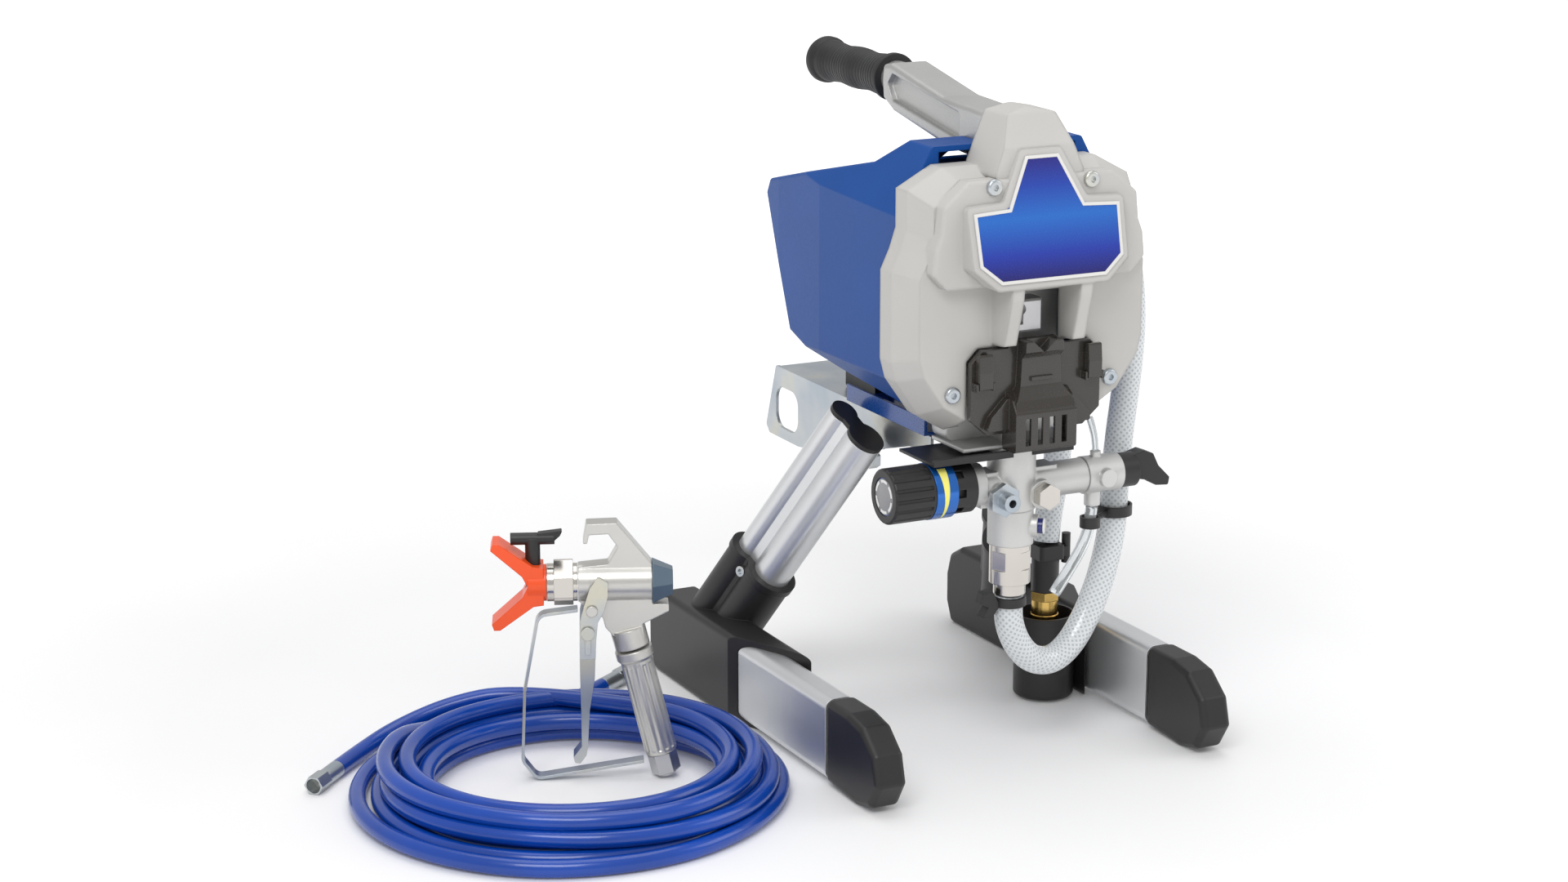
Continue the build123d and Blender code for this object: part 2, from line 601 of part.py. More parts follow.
def make_pump_mount():
    """The cast flange that carries the pump barrel under the drive housing."""
    flange = block(-56, 36, 10, 58, PUMP_TOP_Z + 0.2, 252)
    stem = bar((PUMP_X, MAN_Y, 252), (PUMP_X, MAN_Y, 300), 9.5)
    web = block(PUMP_X - 8, PUMP_X + 8, MAN_Y, HOUSING_Y[0], 252, 300)
    bore = bar((PUMP_X, MAN_Y, 240), (PUMP_X, MAN_Y, 310), PISTON_ROD_R + RUN_GAP)
    return flange + stem + web - bore


def make_manifold_tray():
    tray = block(-84, 33, 6, 56, 243.2, 245.4)
    tray += block(-84, 33, 3.5, 6, 243.2, 248.5)
    return tray - bar((PUMP_X, MAN_Y, 240), (PUMP_X, MAN_Y, 250), 18.3)


def make_knob_collar():
    collar = bar((-65, MAN_Y, KNOB_Z), (-48, MAN_Y, KNOB_Z), 19)
    for i in range(8):
        cut = Pos(-62, 0, 18) * Box(8, 6, 6)
        collar -= Pos(0, MAN_Y, KNOB_Z) * Rot(45 * i, 0, 0) * cut
    return collar - bar((-70, MAN_Y, KNOB_Z), (-40, MAN_Y, KNOB_Z), 8 + RUN_GAP)


def make_knob_body():
    knob = bar((KNOB_X[0], MAN_Y, KNOB_Z), (KNOB_X[1], MAN_Y, KNOB_Z), KNOB_R)
    knob = fillet(knob.faces().sort_by(Axis.X)[0].edges(), 2)
    for i in range(16):
        cut = Pos(KNOB_X[0] + 14, 0, KNOB_R + 0.4) * Cylinder(1.6, 34, rotation=(0, 90, 0))
        knob -= Pos(0, MAN_Y, KNOB_Z) * Rot(22.5 * i, 0, 0) * cut
    knob -= bar((KNOB_X[0] - 1, MAN_Y, KNOB_Z), (KNOB_X[0] + 2, MAN_Y, KNOB_Z), 14)
    stem = bar((KNOB_X[1], MAN_Y, KNOB_Z), (-43, MAN_Y, KNOB_Z), 8)
    return knob + stem


def make_knob_face():
    return bar((KNOB_X[0] + 0.6, MAN_Y, KNOB_Z), (KNOB_X[0] + 2, MAN_Y, KNOB_Z), 13.9)


def make_knob_band():
    band = bar((KNOB_X[1] + 0.1, MAN_Y, KNOB_Z), (-65.4, MAN_Y, KNOB_Z), KNOB_R + 0.4)
    return band - bar((KNOB_X[1] - 1, MAN_Y, KNOB_Z), (-60, MAN_Y, KNOB_Z), 8.02)


def make_outlet_fitting():
    x, z = OUTLET
    fitting = hex_bar((x, BOSS_FACE, z), (x, BOSS_FACE - 5, z), 22)
    fitting += bar((x, BOSS_FACE - 5, z), (x, -12, z), OUTLET_THREAD_R)
    fitting += bar((x, BOSS_FACE, z), (x, BOSS_FACE + 8, z), 5.9)
    return fitting - bar((x, BOSS_FACE + 9, z), (x, -13, z), 3)


def make_manifold_plug():
    x, z = PLUG
    plug = hex_bar((x, BOSS_FACE, z), (x, -6, z), 17)
    return plug + bar((x, BOSS_FACE, z), (x, BOSS_FACE + 8, z), 5.9)


def make_prime_valve():
    x0, x1 = VALVE_X
    valve = bar((x0 + 0.2, MAN_Y, VALVE_Z), (x1, MAN_Y, VALVE_Z), 14)
    valve += bar((64, 2, VALVE_Z), (64, MAN_Y, VALVE_Z), 7)
    valve += bar((60, MAN_Y, 194), (60, MAN_Y, VALVE_Z), 6)
    valve += bar((62, MAN_Y, VALVE_Z), (62, MAN_Y, 235), 4)
    return valve - bar((x1 - 8, MAN_Y, VALVE_Z), (x1 + 1, MAN_Y, VALVE_Z), 5 + RUN_GAP)


def make_prime_lever():
    x1 = VALVE_X[1]
    lever = bar((x1 + 0.3, MAN_Y, VALVE_Z), (x1 + 14, MAN_Y, VALVE_Z), 13)
    lever += bar((x1 - 6, MAN_Y, VALVE_Z), (x1 + 1, MAN_Y, VALVE_Z), 5)
    wing = prism_y([(x1 + 10, 229), (101, 232), (109, 229), (114, 219), (124, 209), (123, 203), (112, 204),
                    (104, 209), (x1 + 10, 212)], MAN_Y - 6, MAN_Y + 6, 1.5)
    return lever + wing


# ---- inlet and suction side ----------------------------------------------------------------------
BUTTON_DIR = Vector(0.80, -0.60, 0)
BUTTON_AT = Vector(PUMP_X, MAN_Y, 187.5)


def make_inlet_housing():
    housing = bar((PUMP_X, MAN_Y, 174), (PUMP_X, MAN_Y, 200.8), INLET_R)
    housing += bar(BUTTON_AT, BUTTON_AT + BUTTON_DIR * 20.5, 8.5)
    return housing - bar(BUTTON_AT + BUTTON_DIR * 12, BUTTON_AT + BUTTON_DIR * 22, 5.8)


def make_prime_button():
    button = bar(BUTTON_AT + BUTTON_DIR * 17, BUTTON_AT + BUTTON_DIR * 24.2, 5.6)
    return button + bar(BUTTON_AT + BUTTON_DIR * 24, BUTTON_AT + BUTTON_DIR * 25, 4.8)


def make_inlet_nut():
    """A round nut with four shallow spanner flats and a wider collar below."""
    nut = bar((PUMP_X, MAN_Y, 144), (PUMP_X, MAN_Y, 173.8), 15.3)
    for i in range(4):
        nut -= Pos(PUMP_X, MAN_Y, 0) * Rot(0, 0, 90 * i + 25) * Pos(15.6, 0, 162) * Box(3, 30, 14)
    return nut


def make_hose_barb():
    return bar((PUMP_X, MAN_Y, 135.3), (PUMP_X, MAN_Y, 143.8), 12)


SUCTION_ROUTE = [(-10, 20, 134), (-10.4, 21, 122), (-7, 23, 106), (2, 25, 89), (16, 28, 76), (35, 31, 72),
                 (53, 34, 82), (68, 37, 101), (79, 39, 122), (87.5, 41, 145), (94, 44, 170), (98, 49, 200),
                 (105, 56, 232), (113, 61, 266), (118, 63, 300), (119, 64, 334), (118, 69, 360),
                 (118, 82, 381),
                 (118, 104, 389), (117, 127, 381), (116, 143, 361), (115, 151, 333), (114, 153, 300),
                 (113.5, 153, 266), (112, 151.5, 232), (109, 150, 200), (105, 149, 170), (99, 147, 146),
                 (97, 146, 128)]
DRAIN_ROUTE = [(60, 20, 193), (60, 22, 180), (59, 26, 166), (51.7, 30, 147), (36.8, 33, 124)]


def tube_radii(route):
    """Each corner's arc is as large as its two runs allow."""
    radii = []
    for a, b, c in zip(route, route[1:], route[2:]):
        before, after = Vector(*b) - Vector(*a), Vector(*c) - Vector(*b)
        turn = radians(before.get_angle(after))
        radii.append(0.45 * min(before.length, after.length) / tan(turn / 2))
    return radii


def tube_along(route, r, name):
    radii = tube_radii(route)
    path = FilletPolyline(*route, radius=radii)
    section = Plane(origin=path @ 0, z_dir=path % 0) * Circle(r)
    tube = sweep(section, path=path)
    ratio = tube.volume / (pi * r * r * path.length)
    print(name, "length %.0f mm, smallest radius %.0f mm, volume ratio %.3f" % (path.length, min(radii),
                                                                                ratio))
    return tube


def make_drip_cup():
    x, y = CUP_AT
    cup = bar((x, y, CUP_Z[0]), (x, y, CUP_Z[1]), CUP_R)
    cup = fillet(cup.faces().sort_by(Axis.Z)[0].edges(), 3)
    return cup - bar((x, y, CUP_Z[0] + 2.5), (x, y, CUP_Z[1] + 1), CUP_R - 2)


def make_strainer():
    x, y = CUP_AT
    return bar((x, y, 32), (x, y, 64.8), 9)


def make_brass_fitting():
    x, y = CUP_AT
    fitting = bar((x, y, 65), (x, y, 87), 10.4)
    fitting += bar((x, y, 65), (x, y, 68), 11.2)
    return fitting + hex_bar((x, y, 80), (x, y, 87), 21)


def make_strainer_sleeve():
    x, y = CUP_AT
    return bar((x, y, 87.2), (x, y, 126.4), 9.4) + bar((x, y, 87.2), (x, y, 114), 11)


def make_clip_block():
    x, y = CUP_AT
    clip = block(x - 11, x + 11, y - 12, y + 12, 114.2, 126)
    clip = fillet(clip.edges().filter_by(Axis.Z), 3) - bar((x, y, 110), (x, y, 130), 9.5)
    pin_x = x + 15
    clip += block(x + 10, pin_x, y - 10, y - 2, 116, 124)
    return clip + bar((pin_x, y - 6, 110), (pin_x, y - 6, 134), 3.5)


def make_drain_clip():
    hose_at, tube_at = Vector(95.2, 45.4, 180), Vector(60, 22, 180)
    link = (hose_at - tube_at).normalized()
    clip = bar(tube_at + link * 6.4, hose_at - link * 12.6, 2.2)
    for centre, inner, outer in ((hose_at, 12.6, 14.2), (tube_at, 6.2, 7.8)):
        ring = Pos(*centre) * (Cylinder(outer, 8) - Cylinder(inner, 9))
        clip += ring
    return clip


# ---- control box ---------------------------------------------------------------------------------
BOX_REAR_Y = 238.0
SWITCH = (18.0, 262.0)


def make_control_box():
    box = block(-34, 34, 188.5, BOX_REAR_Y, BRACKET_TOP_Z + 0.2, 281)
    box = fillet(box.edges().filter_by(Axis.Y), 3)
    x, z = SWITCH
    box -= block(x - 7, x + 7, BOX_REAR_Y - 12, BOX_REAR_Y + 1, z - 11, z + 11)
    return box


def make_power_switch():
    x, z = SWITCH
    rocker = prism_x([(BOX_REAR_Y - 8, z - 8), (BOX_REAR_Y + 3, z - 9), (BOX_REAR_Y, z),
                      (BOX_REAR_Y + 1, z + 9),
                      (BOX_REAR_Y - 8, z + 8)], x - 6.5, x + 6.5)
    pivot_y = BOX_REAR_Y - 6
    return rocker + bar((x - 6.9, pivot_y, z), (x + 6.9, pivot_y, z), 1.8)


def make_power_inlet():
    inlet = bar((-16, BOX_REAR_Y + 0.1, 262), (-16, BOX_REAR_Y + 12, 262), 9)
    inlet += hex_bar((-16, BOX_REAR_Y + 0.1, 262), (-16, BOX_REAR_Y + 5, 262), 22)
    return inlet - bar((-16, BOX_REAR_Y + 2, 262), (-16, BOX_REAR_Y + 14, 262), 4.5)


# ---- spray gun: u forward is local +X, and the gun stands on its swivel and guard -----------------
GUN_BORE_Z = 152.0
TRIGGER_PIN = (3.8, 134.8)
LOCK_PIVOT = (7.0, 118.0)
GRIP_TOP = (-26.0, 101.0)
GRIP_FOOT = (-46.0, 20.0)
SWIVEL_FOOT = (-49.6, 4.6)


def side_plate(points, v0, v1, radius=0.0):
    """An outline of (u, z) points between two sideways distances from the gun's middle."""
    return prism_y(points, v0, v1, radius)


def make_gun_body():
    """The casting: a flat web with a hanging hook above and a finger rest behind, round a barrel."""
    body = side_plate([(13.4, 165), (-8.4, 167), (-15.9, 180), (-9, 190), (4.8, 189.5), (6.4, 183),
                       (9.6, 183),
                       (7, 197.5), (-15.2, 198), (-40.5, 166.4), (-40.5, 136), (-52.5, 136), (-52.5, 130.5),
                       (-33, 121), (-35, 107), (-20, 107), (-11, 113), (-6, 119), (-4, 127), (2, 127),
                       (13.4, 140)],
                      -8, 8, 1.2)
    body += bar((-40.5, 0, GUN_BORE_Z), (13.4, 0, GUN_BORE_Z), 14.5)
    body += bar((-22.1, 0, 116.6), (-25.6, 0, 102.6), 13)
    u, z = TRIGGER_PIN
    return body - bar((u, -20, z), (u, 20, z), 2.5)


def make_trigger_pin():
    u, z = TRIGGER_PIN
    pin = bar((u, -19.4, z), (u, 19.4, z), 2.5)
    for side in (-1, 1):
        pin += bar((u, side * 18.4, z), (u, side * 20.4, z), 4.2)
    return pin


def make_gun_rear_cap():
    """A six-sided cap that tapers towards the rear."""
    plane = Plane(origin=(-40.7, 0, GUN_BORE_Z), x_dir=(0, 0, 1), z_dir=(-1, 0, 0))
    return extrude(plane * Rot(0, 0, 30) * RegularPolygon(17.2, 6), amount=15, taper=21)


def make_trigger():
    """Two cheeks beside the barrel, a bridge below them and a long curved blade."""
    u, z = TRIGGER_PIN
    cheek = [(-8, 156), (-1, 160.5), (5, 152), (9.5, 138), (12.5, 126), (13, 112), (1, 112), (-0.5, 126),
             (-5, 134),
             (-8, 146)]
    trigger = side_plate(cheek, -18, -15.2, 1.5) + side_plate(cheek, 15.2, 18, 1.5)
    trigger += side_plate([(1, 112.5), (13, 112.5), (13.2, 98), (1.6, 98)], -18, 18, 1)
    trigger += side_plate([(1.5, 99), (13.2, 99), (13.2, 80), (12.8, 55), (12.8, 27), (19, 19), (18, 14.5),
                           (14, 14), (9.5, 20), (8.2, 27), (6.5, 55), (2.4, 80)], -8, 8, 0.8)
    return trigger - bar((u, -20, z), (u, 20, z), 2.5 + RUN_GAP)


def make_trigger_lock():
    u, z = LOCK_PIVOT
    lock = bar((u, 18.3, z), (u, 21, z), 5)
    return lock + side_plate([(u - 2, z), (u + 2, z), (u + 2, z - 16), (u - 2, z - 16)], 18.3, 20.4, 1)


def make_tip_nut():
    """A hexagon with a round collar at each end."""
    z = GUN_BORE_Z
    nut = hex_bar((17, 0, z), (31, 0, z), 31) & bar((17, 0, z), (31, 0, z), 17.2)
    return nut + bar((13.8, 0, z), (17, 0, z), 14) + bar((31, 0, z), (36, 0, z), 14)


STEM_U = 46.0
BARREL_Z = 185.5


def make_tip_guard():
    """A round hub with two wings that spread forwards."""
    guard = bar((36.3, 0, GUN_BORE_Z), (50, 0, GUN_BORE_Z), 13.5)
    half = [(38.5, 0), (38.5, 14), (46, 15), (70.5, 32.5), (75, 32.5), (76.5, 28), (54, 8), (50, 0)]
    for up in (-1, 1):
        guard += side_plate([(u, GUN_BORE_Z + up * lift) for u, lift in half], -12, 12)
    guard -= bar((35, 0, GUN_BORE_Z), (60, 0, GUN_BORE_Z), 4)
    return guard - bar((STEM_U, 0, 130), (STEM_U, 0, 180), 5.5 + RUN_GAP)


def make_spray_tip():
    tip = bar((STEM_U, 0, 139), (STEM_U, 0, 186), 5.5)
    tip += bar((30, 0, BARREL_Z), (62, 0, BARREL_Z), 4.5)
    tip += side_plate([(43, BARREL_Z), (42, 190), (24, 192), (26, 188), (31, BARREL_Z - 2)], -3.5, 3.5, 0.8)
    return tip - bar((35, 0, GUN_BORE_Z), (60, 0, GUN_BORE_Z), 1.5)


def make_trigger_guard():
    route = [(14.2, 0, 131.5), (43, 0, 128), (54, 0, 70), (56.5, 0, 16), (46, 0, 1.8), (-32.8, 0, 13.4)]
    path = FilletPolyline(*route, radius=8)
    section = Plane(origin=path @ 0, x_dir=(0, 1, 0), z_dir=path % 0) * Rectangle(11, 2.2)
    return sweep(section, path=path)


def make_gun_handle():
    grip = bar((GRIP_TOP[0], 0, GRIP_TOP[1]), (GRIP_FOOT[0], 0, GRIP_FOOT[1]), 12)
    return grip + bar((GRIP_TOP[0], 0, GRIP_TOP[1]), (-28, 0, 93), 14)


def make_gun_swivel():
    swivel = hex_bar((-46.1, 0, 19.6), (SWIVEL_FOOT[0], 0, SWIVEL_FOOT[1]), 19)
    return swivel + bar((SWIVEL_FOOT[0], 0, SWIVEL_FOOT[1]), (-50.2, 0, 2.2), 7)


GUN_PLACE = Pos(GUN_AT[0], GUN_AT[1], 0) * Rot(0, 0, GUN_YAW)


# ---- hose ----------------------------------------------------------------------------------------
def make_hose_coil():
    x, y = COIL_AT
    step = COIL_HEIGHT / 2 + 1
    profile = [(COIL_INNER_R, 0.2), (COIL_OUTER_R, 0.2), (COIL_OUTER_R, step),
               (COIL_OUTER_R - 18, COIL_HEIGHT),
               (COIL_INNER_R + 8, COIL_HEIGHT), (COIL_INNER_R, step)]
    plane = Plane(origin=(x, y, 0), x_dir=(1, 0, 0), z_dir=(0, -1, 0))
    return revolve(plane * outline(profile, 4), axis=Axis((x, y, 0), (0, 0, 1)), revolution_arc=360)


def hose_end_routes():
    """The two loose ends leave the coil at its back, one low and one from its top turn."""
    x, y = COIL_AT
    first = [(-30, 161, 6.8), (30, 164, 6.8), (72, 176, 6.8), (104, 198, 6.8)]
    last = [(6, 147, 33), (-38, 158, 27), (-82, 160, 14), (-118, 141, 6.8), (-146, 113, 6.8)]
    return [[(x + dx, y + dy, z) for dx, dy, z in route] for route in (first, last)]


def make_hose_ends(coil):
    ends = [tube_along(route, BLUE_HOSE_R, "hose end") - coil for route in hose_end_routes()]
    return lined_up([max(end.solids(), key=lambda s: s.volume) for end in ends])


def make_hose_fittings():
    fittings = []
    for route in hose_end_routes():
        tip = Vector(*route[-1])
        out = (tip - Vector(*route[-2])).normalized()
        out = Vector(out.X, out.Y, 0).normalized()
        ferrule = bar(tip + out * 0.1, tip + out * 22, BLUE_HOSE_R)
        nut = hex_bar(tip + out * 22, tip + out * 38, 13)
        fittings.append(ferrule + nut - bar(tip + out * 26, tip + out * 39, 5.6))
    return lined_up(fittings)


# ---- assembly ------------------------------------------------------------------------------------
def build_machine():
    node("front_cover", make_front_cover())
    node("cover_screws", make_cover_screws())
    node("label_plate", make_label_plate())
    node("pump_door", make_pump_door())
    node("door_clip_left", make_door_clip(-1))
    node("door_clip_right", make_door_clip(1))
    node("drive_housing", lined_up([make_drive_housing(), make_pump_mount()]))
    node("piston_and_yoke", lined_up([make_yoke(), make_piston_rod()]))
    node("crankshaft", lined_up([make_crankshaft(), make_drive_gear()]))
    node("motor_can", make_motor_can())
    node("armature", lined_up([make_armature(), make_pinion()]))
    node("cooling_fan", make_fan())
    node("motor_shroud", make_motor_shroud())
    node("shroud_tray", make_shroud_tray())
    node("handle_arm", make_handle_arm())
    node("handle_grip", make_handle_grip())
    node("control_box", make_control_box())
    node("power_switch", make_power_switch())
    node("power_inlet", make_power_inlet())


def build_stand():
    node("stand_bracket", make_stand_bracket())
    leg, knuckle, tube = make_leg(), make_knuckle(), make_foot_tube()
    node("leg_right", leg)
    node("leg_left", flip(leg))
    plug, cap = make_leg_plug(), make_foot_cap()
    node("leg_plugs", lined_up([plug, flip(plug)]))
    node("knuckle_right", knuckle)
    node("knuckle_left", flip(knuckle))
    node("stand_screws", lined_up(make_leg_bolts() + make_knuckle_screws()))
    node("foot_tube_right", tube)
    node("foot_tube_left", flip(tube))
    node("foot_caps", lined_up([cap, flip(cap)]))


def build_pump():
    node("manifold", make_manifold())
    node("manifold_tray", make_manifold_tray())
    node("knob_collar", make_knob_collar())
    node("knob_body", make_knob_body())
    node("knob_trim", lined_up([make_knob_face(), make_knob_band()]))
    node("outlet_fitting", make_outlet_fitting())
    node("manifold_plug", make_manifold_plug())
    node("prime_valve", make_prime_valve())
    node("prime_lever", make_prime_lever())
    node("inlet_housing", make_inlet_housing())
    node("prime_button", make_prime_button())
    node("inlet_fittings", lined_up([make_inlet_nut(), make_hose_barb()]))
    node("suction_hose", tube_along(SUCTION_ROUTE, HOSE_R, "suction hose"))
    node("drain_tube", tube_along(DRAIN_ROUTE, 4.5, "drain tube"))
    node("drip_cup", make_drip_cup())
    node("strainer", lined_up([make_strainer(), make_brass_fitting()]))
    node("strainer_sleeve", make_strainer_sleeve())
    node("hose_clips", lined_up([make_clip_block(), make_drain_clip()]))


def build_gun():
    node("gun_body", GUN_PLACE * lined_up([make_gun_body(), make_trigger_pin()]))
    node("gun_rear_cap", GUN_PLACE * make_gun_rear_cap())
    node("trigger", GUN_PLACE * make_trigger())
    node("trigger_lock", GUN_PLACE * make_trigger_lock())
    node("tip_nut", GUN_PLACE * make_tip_nut())
    node("tip_guard", GUN_PLACE * make_tip_guard())
    node("spray_tip", GUN_PLACE * make_spray_tip())
    node("trigger_guard", GUN_PLACE * make_trigger_guard())
    node("gun_handle", GUN_PLACE * make_gun_handle())
    node("gun_swivel", GUN_PLACE * make_gun_swivel())


def build_hose():
    coil = make_hose_coil()
    node("hose_coil", coil)
    node("hose_ends", make_hose_ends(coil))
    node("hose_fittings", make_hose_fittings())


build_machine()
build_stand()
build_pump()
build_gun()
build_hose()
for name, shape in NODES.items():
    placed = [Pos(*ORIGIN_SHIFT) * solid for solid in shape.solids()]
    export_step(Compound(placed), "parts/%s.step" % name)
print(len(NODES), "nodes")
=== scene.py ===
"""Looks of the airless paint sprayer, its gun and its coil of hose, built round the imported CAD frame."""
import json
import math
import random

import bmesh
import bpy
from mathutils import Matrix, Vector


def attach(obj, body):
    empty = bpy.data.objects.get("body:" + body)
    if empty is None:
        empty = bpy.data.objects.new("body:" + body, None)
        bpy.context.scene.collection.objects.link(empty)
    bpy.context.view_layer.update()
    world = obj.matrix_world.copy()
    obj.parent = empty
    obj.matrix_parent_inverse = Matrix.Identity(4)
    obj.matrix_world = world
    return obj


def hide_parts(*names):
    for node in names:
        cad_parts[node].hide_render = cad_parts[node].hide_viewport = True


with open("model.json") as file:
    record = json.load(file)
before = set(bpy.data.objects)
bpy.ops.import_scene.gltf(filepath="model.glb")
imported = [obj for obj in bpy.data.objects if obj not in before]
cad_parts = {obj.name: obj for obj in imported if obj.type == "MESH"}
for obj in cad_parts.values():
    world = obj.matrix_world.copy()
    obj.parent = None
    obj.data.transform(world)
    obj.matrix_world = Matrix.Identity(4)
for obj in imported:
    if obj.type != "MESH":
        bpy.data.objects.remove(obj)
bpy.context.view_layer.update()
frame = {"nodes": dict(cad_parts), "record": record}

NODES = frame["nodes"]
MM = 0.001

# The machine's own coordinates, in millimetres: x = 0 is its middle plane, y = 0 its upper cover
# screws, z = 0 the floor. The frame's origin is the middle of the base of sprayer and gun.
SHIFT = Vector((106.634, -156.161, 0.0))


def at(x, y, z):
    """A place in machine millimetres, in the frame's metres."""
    return (Vector((x, y, z)) + SHIFT) * MM


GUN_FOOT = Vector((-294.0, 131.0, 0.0))
GUN_YAW = math.radians(157.5)


def gun_at(u, v, z):
    """A place on the gun: u towards the tip, v sideways, z up, in millimetres."""
    c, s = math.cos(GUN_YAW), math.sin(GUN_YAW)
    return at(GUN_FOOT.x + u * c - v * s, GUN_FOOT.y + u * s + v * c, z)


# ---- camera --------------------------------------------------------------------------------------
VIEW_AZIMUTH = math.radians(26.5)
VIEW_DOWN = math.radians(14.6)
VIEW_PLACE = (-1151.8, -1916.7, 835.0)
LENS_LENGTH = 72.75
LENS_SHIFT = -0.0078


def make_camera():
    data = bpy.data.cameras.new("view")
    data.sensor_width = 36.0
    data.lens = LENS_LENGTH
    data.shift_x = LENS_SHIFT
    data.clip_end = 50.0
    camera = bpy.data.objects.new("view", data)
    camera.location = at(*VIEW_PLACE)
    camera.rotation_euler = (math.pi / 2 - VIEW_DOWN, 0.0, -VIEW_AZIMUTH)
    bpy.context.scene.collection.objects.link(camera)
    bpy.context.scene.camera = camera


# ---- materials -----------------------------------------------------------------------------------
BRAID_TURNS = 14.0           # strands of one hand round the suction hose
BRAID_PER_METRE = 215.0      # strands of one hand along a metre of it
LABEL_FOOT_Z, LABEL_TOP_Z = 0.377, 0.466


class Nodes:
    """A small helper round one material's node tree."""

    def __init__(self, name):
        self.material = bpy.data.materials.new(name)
        self.material.use_nodes = True
        self.tree = self.material.node_tree
        self.shader = self.tree.nodes["Principled BSDF"]
        coords = self.add("ShaderNodeTexCoord")
        self.place = coords.outputs["Object"]
        self.uv = coords.outputs["UV"]

    def add(self, kind, **values):
        made = self.tree.nodes.new(kind)
        for key, value in values.items():
            if hasattr(made, key):
                setattr(made, key, value)
            else:
                made.inputs[key.replace("_", " ")].default_value = value
        return made

    def link(self, a, b):
        self.tree.links.new(a, b)

    def noise(self, scale, detail=4.0, stretch=None):
        texture = self.add("ShaderNodeTexNoise", Scale=scale, Detail=detail)
        source = self.place
        if stretch:
            mapping = self.add("ShaderNodeMapping")
            mapping.inputs["Scale"].default_value = stretch
            self.link(source, mapping.inputs["Vector"])
            source = mapping.outputs["Vector"]
        self.link(source, texture.inputs["Vector"])
        return texture.outputs["Fac"]

    def ramp(self, factor, stops):
        made = self.add("ShaderNodeValToRGB")
        elements = made.color_ramp.elements
        while len(elements) < len(stops):
            elements.new(0.5)
        for element, (position, colour) in zip(elements, stops):
            element.position = position
            element.color = (*colour, 1.0)
        self.link(factor, made.inputs["Fac"])
        return made.outputs["Color"]

    def levels(self, factor, low, high):
        made = self.add("ShaderNodeMapRange")
        made.inputs["To Min"].default_value = low
        made.inputs["To Max"].default_value = high
        self.link(factor, made.inputs["Value"])
        return made.outputs["Result"]

    def bump(self, height, distance, strength=1.0, edge=0.0):
        made = self.add("ShaderNodeBump")
        made.inputs["Strength"].default_value = strength
        made.inputs["Distance"].default_value = distance
        self.link(height, made.inputs["Height"])
        if edge:
            bevel = self.add("ShaderNodeBevel", samples=6)
            bevel.inputs["Radius"].default_value = edge
            self.link(bevel.outputs["Normal"], made.inputs["Normal"])
        self.link(made.outputs["Normal"], self.shader.inputs["Normal"])


def shade(colour, factor):
    return tuple(min(1.0, c * factor) for c in colour)


def solid_finish(name, colour, roughness, metallic=0.0, grain=900.0, depth=0.00004, edge=0.0008,
                 mottle=0.12, stretch=None, coat=0.0, shine=0.5):
    """A painted, moulded or cast finish: mottled colour, uneven roughness and a fine surface grain."""
    n = Nodes(name)
    broad = n.noise(14.0, 3.0)
    fine = n.noise(grain, 6.0, stretch)
    colours = [(0.3, shade(colour, 1 - mottle)), (0.7, shade(colour, 1 + mottle))]
    n.link(n.ramp(broad, colours), n.shader.inputs["Base Color"])
    n.link(n.levels(fine, roughness * 0.8, min(1.0, roughness * 1.2)), n.shader.inputs["Roughness"])
    n.shader.inputs["Metallic"].default_value = metallic
    n.shader.inputs["Specular IOR Level"].default_value = shine
    n.shader.inputs["Coat Weight"].default_value = coat
    n.shader.inputs["Coat Roughness"].default_value = 0.08
    n.bump(fine, depth, 1.0, edge)
    return n.material


def zinc_finish(name):
    """Zinc plate: pale blue-grey metal with faint yellow patches and a rolled grain."""
    n = Nodes(name)
    patches = n.noise(22.0, 2.0)
    fine = n.noise(700.0, 4.0, (1.0, 0.15, 1.0))
    stops = [(0.32, (0.42, 0.47, 0.52)), (0.54, (0.52, 0.55, 0.57)), (0.70, (0.62, 0.60, 0.50))]
    n.link(n.ramp(patches, stops), n.shader.inputs["Base Color"])
    n.link(n.levels(fine, 0.24, 0.42), n.shader.inputs["Roughness"])
    n.shader.inputs["Metallic"].default_value = 0.9
    n.bump(fine, 0.00002, 1.0, 0.0006)
    return n.material


